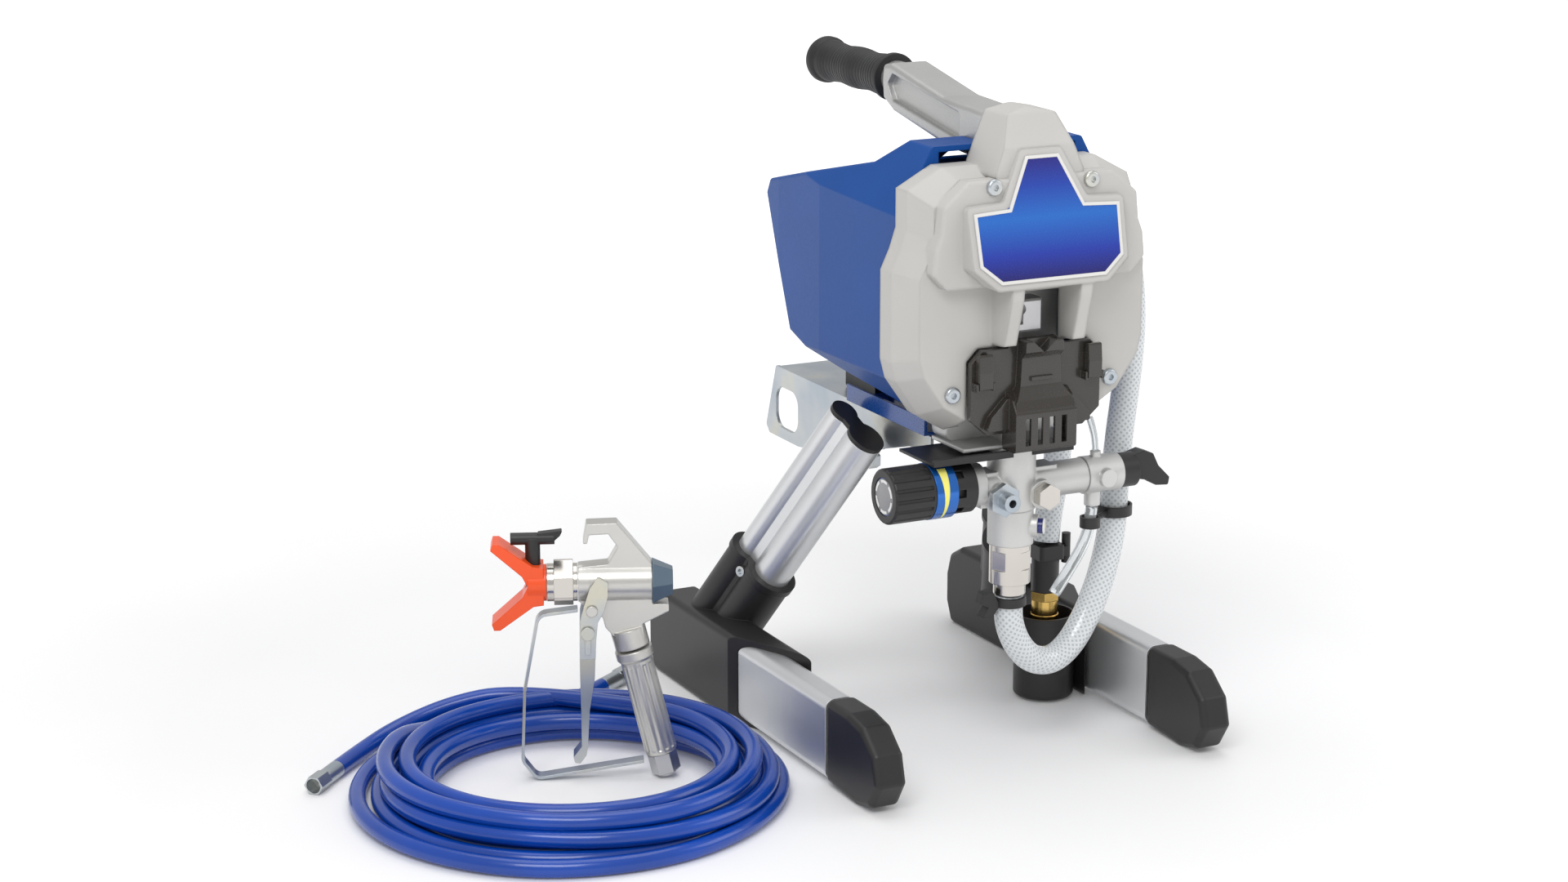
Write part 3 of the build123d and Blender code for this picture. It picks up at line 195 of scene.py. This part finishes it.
def braided_finish(name, turns, per_metre):
    """Clear PVC over a white diamond braid; UV runs round and then along the hose, in metres."""
    n = Nodes(name)
    split = n.add("ShaderNodeSeparateXYZ")
    n.link(n.uv, split.inputs["Vector"])
    strands = []
    for sign in (1.0, -1.0):
        lean = n.add("ShaderNodeMath", operation="MULTIPLY_ADD")
        n.link(split.outputs["Y"], lean.inputs[0])
        lean.inputs[1].default_value = per_metre * sign
        around = n.add("ShaderNodeMath", operation="MULTIPLY")
        n.link(split.outputs["X"], around.inputs[0])
        around.inputs[1].default_value = turns
        n.link(around.outputs[0], lean.inputs[2])
        cycle = n.add("ShaderNodeMath", operation="PINGPONG")
        n.link(lean.outputs[0], cycle.inputs[0])
        cycle.inputs[1].default_value = 0.5
        strand = n.add("ShaderNodeMapRange", interpolation_type="SMOOTHSTEP")
        strand.inputs["From Min"].default_value = 0.20
        strand.inputs["From Max"].default_value = 0.30
        n.link(cycle.outputs[0], strand.inputs["Value"])
        strands.append(strand.outputs["Result"])
    top = n.add("ShaderNodeMath", operation="MAXIMUM")
    n.link(strands[0], top.inputs[0])
    n.link(strands[1], top.inputs[1])
    stops = [(0.0, (0.56, 0.60, 0.62)), (1.0, (0.84, 0.87, 0.89))]
    n.link(n.ramp(top.outputs[0], stops), n.shader.inputs["Base Color"])
    n.shader.inputs["Roughness"].default_value = 0.16
    n.shader.inputs["Transmission Weight"].default_value = 0.18
    n.shader.inputs["IOR"].default_value = 1.45
    n.shader.inputs["Coat Weight"].default_value = 0.6
    n.bump(top.outputs[0], 0.00025)
    return n.material


def clear_finish(name):
    """Clear PVC with faint waves in its surface."""
    n = Nodes(name)
    fine = n.noise(60.0, 2.0)
    stops = [(0.3, (0.86, 0.90, 0.92)), (0.7, (0.94, 0.96, 0.97))]
    n.link(n.ramp(fine, stops), n.shader.inputs["Base Color"])
    n.link(n.levels(fine, 0.06, 0.14), n.shader.inputs["Roughness"])
    n.shader.inputs["Transmission Weight"].default_value = 0.8
    n.shader.inputs["IOR"].default_value = 1.35
    return n.material


def label_finish(name):
    """A printed plate: deep violet-blue at the top and foot, royal blue across the middle."""
    n = Nodes(name)
    split = n.add("ShaderNodeSeparateXYZ")
    n.link(n.place, split.inputs["Vector"])
    height = n.add("ShaderNodeMapRange")
    height.inputs["From Min"].default_value = LABEL_FOOT_Z
    height.inputs["From Max"].default_value = LABEL_TOP_Z
    n.link(split.outputs["Z"], height.inputs["Value"])
    stops = [(0.0, (0.012, 0.006, 0.10)), (0.22, (0.012, 0.035, 0.34)), (0.5, (0.015, 0.13, 0.50)),
             (0.75, (0.012, 0.05, 0.36)), (1.0, (0.018, 0.008, 0.16))]
    n.link(n.ramp(height.outputs["Result"], stops), n.shader.inputs["Base Color"])
    fine = n.noise(1200.0)
    n.link(n.levels(fine, 0.2, 0.32), n.shader.inputs["Roughness"])
    n.bump(fine, 0.00001, 1.0, 0.0004)
    return n.material


def make_materials():
    """The finishes of the record's material slots, and the extra ones that only some pieces have."""
    made = {
        "cover": solid_finish("cover_paint", (0.50, 0.49, 0.468), 0.46, grain=1500, depth=0.00006,
                              edge=0.0040, mottle=0.03),
        "blue_shell": solid_finish("shroud_blue", (0.001, 0.060, 0.28), 0.42, grain=500, depth=0.00001,
                                   edge=0.002, mottle=0.05, coat=0.04, shine=0.2),
        "blue_sheet": solid_finish("tray_blue", (0.006, 0.065, 0.30), 0.28, grain=700, depth=0.00002,
                                   mottle=0.05, coat=0.4),
        "label": label_finish("label_print"),
        "black_plastic": solid_finish("black_moulding", (0.016, 0.015, 0.015), 0.42, grain=1800,
                                      depth=0.00004, edge=0.001, mottle=0.15),
        "grip_rubber": solid_finish("grip_rubber", (0.012, 0.012, 0.013), 0.55, grain=1600, depth=0.00005,
                                    edge=0.0008, mottle=0.2),
        "cast_alloy": solid_finish("cast_alloy", (0.60, 0.60, 0.59), 0.46, metallic=0.75, grain=750,
                                   depth=0.00012, edge=0.0016, mottle=0.06),
        "brushed_alloy": solid_finish("brushed_alloy", (0.74, 0.75, 0.76), 0.34, metallic=0.8, grain=420,
                                      depth=0.00003, edge=0.0008, mottle=0.03, stretch=(4.0, 0.12, 4.0)),
        "zinc": zinc_finish("zinc_plate"),
        "steel": solid_finish("machined_steel", (0.52, 0.52, 0.53), 0.32, metallic=0.9, grain=600,
                              depth=0.00002, mottle=0.08),
        "nickel": solid_finish("nickel_plate", (0.60, 0.57, 0.53), 0.20, metallic=1.0, grain=500,
                               depth=0.00001, mottle=0.05, stretch=(6.0, 6.0, 0.4)),
        "brass": solid_finish("machined_brass", (0.78, 0.52, 0.16), 0.24, metallic=1.0, grain=600,
                              depth=0.00002, mottle=0.08),
        "knob_trim": solid_finish("knob_blue", (0.01, 0.13, 0.50), 0.2, metallic=0.6, grain=600,
                                  depth=0.00001, mottle=0.1, coat=0.5),
        "button_blue": solid_finish("button_blue", (0.012, 0.02, 0.16), 0.25, grain=800, depth=0.00001,
                                    coat=0.4),
        "clear_hose": braided_finish("braided_pvc", BRAID_TURNS, BRAID_PER_METRE),
        "clear_tube": clear_finish("clear_pvc"),
        "blue_hose": solid_finish("hose_blue", (0.001, 0.052, 0.36), 0.24, grain=300, depth=0.00003,
                                  edge=0.0, mottle=0.16, coat=0.25),
        "gun_nickel": solid_finish("gun_nickel", (0.60, 0.59, 0.56), 0.34, metallic=0.85, grain=500,
                                   depth=0.00003, edge=0.0012, mottle=0.05),
        "gun_cap": solid_finish("gun_cap", (0.12, 0.17, 0.22), 0.34, metallic=0.4, grain=700, depth=0.00002,
                                mottle=0.08),
        "orange_plastic": solid_finish("guard_orange", (0.86, 0.085, 0.012), 0.32, grain=900, depth=0.00003,
                                       edge=0.001, mottle=0.06),
    }
    extra = {
        "white": solid_finish("white_print", (0.80, 0.80, 0.79), 0.4, mottle=0.03),
        "pale": solid_finish("pale_border", (0.70, 0.69, 0.67), 0.4, mottle=0.03),
        "yellow": solid_finish("yellow_print", (0.86, 0.80, 0.18), 0.4, mottle=0.05),
        "face_grey": solid_finish("knob_face_grey", (0.28, 0.28, 0.29), 0.35, metallic=0.3, mottle=0.08),
        "door": solid_finish("door_moulding", (0.030, 0.026, 0.022), 0.26, grain=1200, depth=0.00002,
                             edge=0.0010, mottle=0.1, coat=0.3),
        "arm": solid_finish("arm_casting", (0.50, 0.50, 0.49), 0.42, metallic=0.8, grain=620, depth=0.00022,
                            edge=0.0020, mottle=0.05),
    }
    return made, extra


# ---- mesh helpers --------------------------------------------------------------------------------
def add_object(name, data, material, slot, body, *replaced):
    """A new piece on one body, which takes the place of the CAD nodes named in replaced."""
    piece = bpy.data.objects.new(name, data)
    bpy.context.scene.collection.objects.link(piece)
    data.materials.append(material)
    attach(piece, body)
    if replaced:
        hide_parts(*replaced)
    return piece


def mesh_object(name, verts, faces, material, slot, body, *replaced, smooth=30.0):
    mesh = bpy.data.meshes.new(name)
    mesh.from_pydata([tuple(v) for v in verts], [], faces)
    mesh.validate()
    piece = add_object(name, mesh, material, slot, body, *replaced)
    smooth_by_angle(mesh, smooth)
    return piece


def smooth_by_angle(mesh, degrees):
    """Smooth shading, broken at every edge that turns by more than the given angle."""
    mesh.shade_smooth()
    made = bmesh.new()
    made.from_mesh(mesh)
    bmesh.ops.recalc_face_normals(made, faces=made.faces)
    for edge in made.edges:
        sharp = len(edge.link_faces) == 2 and edge.calc_face_angle(0.0) > math.radians(degrees)
        edge.smooth = not sharp
    made.to_mesh(mesh)
    made.free()


def frame_of(axis):
    """Two unit vectors square to an axis."""
    axis = axis.normalized()
    side = axis.cross(Vector((0, 0, 1)))
    if side.length < 0.1:
        side = axis.cross(Vector((0, 1, 0)))
    side.normalize()
    return side, axis.cross(side)


def lathe(name, start, axis, profile, material, slot, body, *replaced, sides=64, ripple=None):
    """A turned piece: profile lists (distance along the axis, radius), both in millimetres."""
    axis = axis.normalized()
    side, up = frame_of(axis)
    verts, faces = [], []
    for along, radius in profile:
        for i in range(sides):
            angle = 2 * math.pi * i / sides
            r = radius + (ripple(along, angle) if ripple else 0.0)
            out = side * (r * math.cos(angle)) + up * (r * math.sin(angle))
            verts.append(start + (axis * along + out) * MM)
    for row in range(len(profile) - 1):
        for i in range(sides):
            j = (i + 1) % sides
            a, b = row * sides, (row + 1) * sides
            faces.append((a + i, a + j, b + j, b + i))
    faces.append(tuple(range(sides))[::-1])
    faces.append(tuple((len(profile) - 1) * sides + i for i in range(sides)))
    return mesh_object(name, verts, faces, material, slot, body, *replaced)


def route_curve(name, points, resolution):
    """One smooth curve along a chosen route, in metres."""
    data = bpy.data.curves.new(name, "CURVE")
    data.dimensions = "3D"
    spline = data.splines.new("NURBS")
    spline.points.add(len(points) - 1)
    for point, place in zip(spline.points, points):
        point.co = (*place, 1.0)
    spline.order_u = 3
    spline.use_endpoint_u = True
    data.resolution_u = resolution
    return data


def nurbs(name, points, radius, material, slot, body, *replaced):
    """A hose: the smooth curve of its route with a round section."""
    data = route_curve(name, points, 8)
    data.bevel_depth = radius * MM
    data.bevel_resolution = 7
    data.use_fill_caps = True
    return add_object(name, data, material, slot, body, *replaced)


def line_of(points):
    """The places along the smooth curve of a route, read from the curve itself."""
    carrier = bpy.data.objects.new("route", route_curve("route", points, 12))
    bpy.context.scene.collection.objects.link(carrier)
    mesh = bpy.data.meshes.new_from_object(carrier)
    line = [v.co.copy() for v in mesh.vertices]
    bpy.data.objects.remove(carrier)
    bpy.data.meshes.remove(mesh)
    return line


def hose_mesh(name, line, radius, bore, material, slot, body, *replaced, sides=32):
    """A tube along a line, each end closed flush by a ring and a disc at the bore's radius; its UV runs
    round it and then along it in metres.
    """
    radius, bore = radius * MM, bore * MM
    before, after = line[:1] + line[:-1], line[1:] + line[-1:]
    tangents = [(b - a).normalized() for a, b in zip(before, after)]
    side = frame_of(tangents[0])[0]
    rings, along, length = [], [], 0.0
    for i, (place, tangent) in enumerate(zip(line, tangents)):
        side = (side - tangent * side.dot(tangent)).normalized()
        up = tangent.cross(side)
        length += (place - line[i - 1]).length if i else 0.0
        along.append(length)
        rings.append((place, side.copy(), up))
    made = bmesh.new()
    uv_layer = made.loops.layers.uv.new("UVMap")

    def ring_verts(ring, r):
        place, a, b = ring
        angles = [2 * math.pi * k / sides for k in range(sides)]
        return [made.verts.new(place + a * (r * math.cos(t)) + b * (r * math.sin(t))) for t in angles]

    outer = [ring_verts(ring, radius) for ring in rings]
    inner = [ring_verts(ring, bore) for ring in (rings[0], rings[-1])]
    for i in range(len(rings) - 1):
        for k in range(sides):
            j = (k + 1) % sides
            face = made.faces.new((outer[i][k], outer[i][j], outer[i + 1][j], outer[i + 1][k]))
            corners = ((k, i), (k + 1, i), (k + 1, i + 1), (k, i + 1))
            for loop, (around, row) in zip(face.loops, corners):
                loop[uv_layer].uv = (around / sides, along[row])
    for end, row in ((0, 0), (-1, 1)):
        for k in range(sides):
            j = (k + 1) % sides
            made.faces.new((outer[end][k], inner[row][k], inner[row][j], outer[end][j]))
        made.faces.new(inner[row])
    bmesh.ops.recalc_face_normals(made, faces=made.faces)
    mesh = bpy.data.meshes.new(name)
    made.to_mesh(mesh)
    made.free()
    mesh.shade_smooth()
    return add_object(name, mesh, material, slot, body, *replaced)


# ---- hoses ---------------------------------------------------------------------------------------
SUCTION_ROUTE = [(-10, 20, 134), (-10.4, 21, 122), (-7, 23, 106), (2, 25, 89), (16, 28, 76), (35, 31, 72),
                 (53, 34, 82), (68, 37, 101), (79, 39, 122), (87.5, 41, 145), (94, 44, 170), (98, 49, 200),
                 (105, 56, 232), (113, 61, 266), (118, 63, 300), (119, 64, 334), (118, 69, 360),
                 (118, 82, 381), (118, 104, 389), (117, 127, 381), (116, 143, 361), (115, 151, 333),
                 (114, 153, 300), (113.5, 153, 266), (112, 151.5, 232), (109, 150, 200), (105, 149, 170),
                 (99, 147, 146), (97, 146, 128)]
DRAIN_ROUTE = [(60, 20, 193), (60, 22, 180), (59, 26, 166), (51.7, 30, 147), (36.8, 33, 124)]
SUCTION_R, SUCTION_BORE_R = 10.75, 8.0
DRAIN_R, DRAIN_BORE_R = 4.5, 3.2
VENT_R, VENT_BORE_R = 2.6, 1.7
BLUE_HOSE_R = 6.5

# The paint hose: places from the coil's middle, and its lowest centreline, just clear of the floor.
COIL_MIDDLE = (-323.0, 104.0)
COIL_FLOOR = 6.8
COIL_STARTS_AT = math.radians(96)
TURN_POINTS = 18
FIRST_END = [(104, 198, 6.8), (72, 176, 6.8), (30, 164, 6.8)]
LAST_END = [(6, 147, 33), (-38, 158, 27), (-82, 160, 14), (-118, 141, 6.8), (-146, 113, 6.8)]
# Each layer: radius at its start and end, height of its centreline, and its turns.
COIL_LAYERS = [(161.0, 109.0, 7.0, 3.6), (106.0, 150.0, 19.4, 3.5), (142.0, 112.0, 31.8, 1.8)]


def coil_route():
    """From one loose end, in along the bottom layer, out along the next, and in again along the top one.

    The turns wander a little from a true spiral, and the outer bottom ones fan out on one side.
    """
    x, y = COIL_MIDDLE
    loose = random.Random(7)
    route = list(FIRST_END)
    turned = COIL_STARTS_AT
    for r0, r1, z, turns in COIL_LAYERS:
        count = round(turns * TURN_POINTS)
        bottom = z < 10.0
        for i in range(count):
            share = i / count
            fan = 9.0 * math.exp(-((turned % (2 * math.pi) - 3.5) / 0.8) ** 2) * (1.0 - share) * bottom
            wander = 1.8 * math.sin(3.1 * turned + z) + loose.uniform(-0.8, 0.8)
            r = r0 + (r1 - r0) * share + wander + fan
            high = z + 0.9 * math.sin(2.3 * turned)
            route.append((r * math.cos(turned), r * math.sin(turned), max(high, COIL_FLOOR)))
            turned += 2 * math.pi / TURN_POINTS
    return [at(x + dx, y + dy, z) for dx, dy, z in route + LAST_END]


def measured(line):
    """The length of a line of places."""
    return sum((b - a).length for a, b in zip(line, line[1:]))


def make_hoses(mats):
    suction = line_of([at(*p) for p in SUCTION_ROUTE])
    hose = hose_mesh("suction_hose_braided", suction, SUCTION_R, SUCTION_BORE_R, mats["clear_hose"],
                     "clear_hose", "machine", "suction_hose")
    drain = line_of([at(*p) for p in DRAIN_ROUTE])
    tube = hose_mesh("drain_tube_clear", drain, DRAIN_R, DRAIN_BORE_R, mats["clear_tube"], "clear_tube",
                     "machine", "drain_tube", sides=24)
    route = coil_route()
    coil = nurbs("paint_hose", route, BLUE_HOSE_R, mats["blue_hose"], "blue_hose", "machine", "hose_coil",
                 "hose_ends")
    round(measured(line_of(route)), 3)


# ---- stage ---------------------------------------------------------------------------------------
def make_floor():
    """A white floor: pale paint with a painted glow that brightens it away from the sprayer."""
    mesh = bpy.data.meshes.new("floor")
    size = 12.0
    corners = [(-size, -size, 0), (size, -size, 0), (size, size, 0), (-size, size, 0)]
    mesh.from_pydata(corners, [], [(0, 1, 2, 3)])
    floor = bpy.data.objects.new("floor", mesh)
    bpy.context.scene.collection.objects.link(floor)
    n = Nodes("floor_paint")
    fine = n.noise(3.0, 2.0)
    stops = [(0.3, (0.86, 0.86, 0.865)), (0.7, (0.89, 0.89, 0.895))]
    n.link(n.ramp(fine, stops), n.shader.inputs["Base Color"])
    n.shader.inputs["Roughness"].default_value = 0.6
    # Painted light: the floor's emission glows faintly near the sprayer and grows with distance, lifting it
    # to white and thinning its shadows.
    reach = n.add("ShaderNodeVectorMath", operation="LENGTH")
    n.link(n.place, reach.inputs[0])
    painted_glow = n.add("ShaderNodeMapRange")
    for key, value in (("From Min", 0.5), ("From Max", 2.2), ("To Min", 0.06), ("To Max", 0.6)):
        painted_glow.inputs[key].default_value = value
    n.link(reach.outputs["Value"], painted_glow.inputs["Value"])
    n.shader.inputs["Emission Color"].default_value = (1.0, 1.0, 1.0, 1.0)
    n.link(painted_glow.outputs["Result"], n.shader.inputs["Emission Strength"])
    mesh.materials.append(n.material)


def make_light(name, place, size, power, aim):
    data = bpy.data.lights.new(name, "AREA")
    data.shape = "RECTANGLE"
    data.size, data.size_y = size
    data.energy = power
    lamp = bpy.data.objects.new(name, data)
    lamp.location = place
    lamp.rotation_euler = (Vector(aim) - Vector(place)).to_track_quat("-Z", "Y").to_euler()
    bpy.context.scene.collection.objects.link(lamp)


def make_stage():
    make_floor()
    world = bpy.data.worlds.new("studio")
    world.use_nodes = True
    background = world.node_tree.nodes["Background"]
    background.inputs["Color"].default_value = (1.0, 1.0, 1.0, 1.0)
    background.inputs["Strength"].default_value = 0.62
    bpy.context.scene.world = world
    middle = (0.0, 0.0, 0.25)
    make_light("key", (-1.2, -1.6, 2.2), (1.5, 1.1), 30.0, middle)
    make_light("fill", (1.9, -1.0, 1.3), (1.2, 1.2), 8.0, middle)
    make_light("top", (0.1, 0.4, 2.4), (1.8, 1.8), 15.0, middle)
    bpy.context.scene.view_settings.view_transform = "Standard"


# ---- surfaces of the CAD parts -------------------------------------------------------------------
def dress_frame(mats, extra):
    """Each CAD node gets its slot's finish, or a finish of its own."""
    slots = {s["node"]: s["material_slot"] for s in frame["record"]["subparts"]}
    special = {"pump_door": "door", "door_clip_left": "door", "door_clip_right": "door", "handle_arm": "arm"}
    for name, node in NODES.items():
        node.data.materials.clear()
        node.data.materials.append(extra[special[name]] if name in special else mats[slots[name]])


# ---- label ---------------------------------------------------------------------------------------
LABEL_LOW = Vector((0, -18.0, 377.0))
LABEL_UP = Vector((0, 21.0, 87.0)).normalized()
LABEL_OUT = Vector((0, -87.0, 21.0)).normalized()
# Half of the plate's outline: across from its middle line, and up the plate from its foot.
LABEL_HALF = [(43, 0), (59, 13.5), (60, 51.5), (31, 53), (13.5, 89.5)]


def make_label_border(extra):
    """The pale printed line round the blue plate, a slim frame just proud of it."""
    outline = LABEL_HALF + [(-x, s) for x, s in reversed(LABEL_HALF)]
    verts, faces = [], []
    for inset, lift in ((-0.1, 0.2), (-0.1, 1.45), (2.4, 1.45), (2.4, 1.0)):
        for i, point in enumerate(outline):
            before = Vector(outline[i - 1])
            after = Vector(outline[(i + 1) % len(outline)])
            here = Vector(point)
            one, two = (here - before).normalized(), (after - here).normalized()
            normal = Vector((-(one.y + two.y), one.x + two.x)).normalized()
            stretch = 1.0 / max(0.35, math.cos(one.angle(two) / 2))
            moved = here + normal * inset * stretch
            place = LABEL_LOW + Vector((moved.x, 0, 0)) + LABEL_UP * moved.y + LABEL_OUT * lift
            verts.append(at(*place))
    count = len(outline)
    for row in range(4):
        a, b = row * count, ((row + 1) % 4) * count
        for i in range(count):
            j = (i + 1) % count
            faces.append((a + i, a + j, b + j, b + i))
    mesh_object("label_border", verts, faces, extra["pale"], "label", "machine")


# ---- knob marks ----------------------------------------------------------------------------------
KNOB_AXIS = Vector((0, 20, 221.5))
BAND_R = 20.8
KNOB_FACE_X = -115.3


def ring_patch(name, x0, x1, r0, r1, start, stop, material, slot, body, taper=1.0, steps=16):
    """A slim raised patch wrapped round the knob's axis between two angles, in degrees."""
    verts, faces = [], []
    for i in range(steps + 1):
        share = i / steps
        angle = math.radians(start + (stop - start) * share)
        width = 1.0 - (1.0 - taper) * share
        middle, half = (x0 + x1) / 2, (x1 - x0) / 2 * width
        for x, r in ((middle - half, r0), (middle + half, r0), (middle + half, r1), (middle - half, r1)):
            verts.append(at(x, KNOB_AXIS.y - r * math.cos(angle), KNOB_AXIS.z + r * math.sin(angle)))
    for i in range(steps):
        a, b = 4 * i, 4 * (i + 1)
        for k in range(4):
            j = (k + 1) % 4
            faces.append((a + k, a + j, b + j, b + k))
    faces.append((3, 2, 1, 0))
    faces.append(tuple(4 * steps + k for k in range(4)))
    return mesh_object(name, verts, faces, material, slot, body)


def make_knob_marks(extra):
    """A tapering wedge and a few strokes on the blue band, and a ring of dashes on the face."""
    ring_patch("knob_wedge", -78.5, -71.5, BAND_R, 21.05, 62, -58, extra["yellow"], "knob_trim",
               "pressure_knob", 0.15)
    for i, (start, width) in enumerate(((84, 8), (100, 6), (113, 10), (-80, 9))):
        ring_patch("knob_mark_%d" % i, -81.0, -76.0, BAND_R, 21.02, start, start + width, extra["white"],
                   "knob_trim", "pressure_knob", steps=4)
    disc = [(0, 13.4), (0.35, 13.4), (0.5, 13.1)]
    lathe("knob_face_disc", at(KNOB_FACE_X, KNOB_AXIS.y, KNOB_AXIS.z), Vector((-1, 0, 0)), disc,
          extra["face_grey"], "knob_trim", "pressure_knob", sides=48)
    for i in range(6):
        ring_patch("knob_face_mark_%d" % i, -115.95, -115.7, 10.4, 12.6, 60 * i + 8, 60 * i + 52,
                   extra["white"], "knob_trim", "pressure_knob", steps=8)


# ---- grip and gun handle -------------------------------------------------------------------------
def make_grip(mats):
    """The rear grip: a gently waisted rubber sleeve with end lips and fine grip rings."""
    profile = [(0, 9.1), (0, 18.0), (0.8, 18.5), (5, 18.5), (6, 17.6), (8, 16.6)]
    along = 10.0
    while along < 104.0:
        waist = 15.7 + 0.7 * math.cos((along - 10.0) / 96.0 * 4 * math.pi)
        groove = waist - 0.3
        profile += [(along, waist), (along + 0.5, groove), (along + 1.2, groove), (along + 1.6, waist)]
        along += 4.5
    profile += [(108, 16.6), (110, 18.0), (112, 18.5), (116, 18.5), (118.5, 17.6), (120.2, 15.2),
                (120.8, 11.0)]
    lathe("handle_grip_rubber", at(0, 222.3, 491.5), Vector((0, 1, 0)), profile, mats["grip_rubber"],
          "grip_rubber", "machine", "handle_grip", sides=72)


def make_gun_handle(mats):
    """The gun's handle: a polished collar over a long fluted grip."""
    start, end = gun_at(-26, 0, 101), gun_at(-46, 0, 20)

    def flutes(along, angle):
        deep = 1.0 if 12.0 < along < 80.0 else 0.0
        return -0.9 * deep * (0.5 + 0.5 * math.cos(14 * angle))

    profile = [(0, 12.6), (0.4, 13.6), (1, 14.0), (7, 14.0), (8.4, 13.0), (9, 12.0), (12, 12.0),
               (12.8, 12.0), (30, 12.0), (50, 12.0), (70, 12.0), (79.5, 12.0), (80.5, 12.0), (83.2, 11.6)]
    lathe("gun_grip_fluted", start, end - start, profile, mats["gun_nickel"], "gun_nickel", "gun",
          "gun_handle", sides=112, ripple=flutes)


# ---- small parts ---------------------------------------------------------------------------------
def make_vent_tube(mats):
    """The thin clear tube that runs from the prime valve's barb up behind the cover."""
    line = line_of([at(62, 20, 234), at(62, 21, 242), at(62, 24, 251), at(61, 28, 259)])
    hose_mesh("vent_tube", line, VENT_R, VENT_BORE_R, mats["clear_tube"], "clear_tube", "machine", sides=20)


def make_hose_clamp(mats):
    """The black spring clamp on the suction hose below the inlet nut, with its thumb wing."""
    band = [(0, 11.6), (0.4, 12.6), (7, 12.8), (7.6, 11.7)]
    lathe("inlet_clamp", at(-10, 20.1, 133), Vector((0, 0, -1)), band, mats["black_plastic"],
          "black_plastic", "machine", sides=48)
    wing = [(-21.5, 130), (-27, 139), (-35, 138), (-37, 131), (-30, 127), (-35, 120), (-27, 119),
            (-21.5, 126)]
    verts = [at(x, y, z) for y in (15.0, 24.0) for x, z in wing]
    count = len(wing)
    faces = [tuple(range(count)), tuple(range(2 * count - 1, count - 1, -1))]
    faces += [(i, (i + 1) % count, count + (i + 1) % count, count + i) for i in range(count)]
    mesh_object("inlet_clamp_wing", verts, faces, mats["black_plastic"], "black_plastic", "machine",
                smooth=20)


def make_button_face(extra):
    """The white rim and yellow spot on the prime button, which points out and to the right."""
    out = Vector((0.80, -0.60, 0))
    reach = 25.0
    centre = at(-10, 20, 187.5) + out * reach * MM
    lathe("button_rim", centre - out * 0.8 * MM, out, [(0, 5.55), (0.5, 5.9), (1.0, 5.7), (1.05, 4.9)],
          extra["white"], "button_blue", "inlet_button", sides=40)
    lathe("button_spot", centre - out * 0.1 * MM, out, [(0, 1.9), (0.35, 1.8), (0.45, 1.2)], extra["yellow"],
          "button_blue", "inlet_button", sides=24)


def main():
    make_camera()
    mats, extra = make_materials()
    make_hoses(mats)
    dress_frame(mats, extra)
    make_label_border(extra)
    make_knob_marks(extra)
    make_grip(mats)
    make_gun_handle(mats)
    make_vent_tube(mats)
    make_hose_clamp(mats)
    make_button_face(extra)
    make_stage()


main()
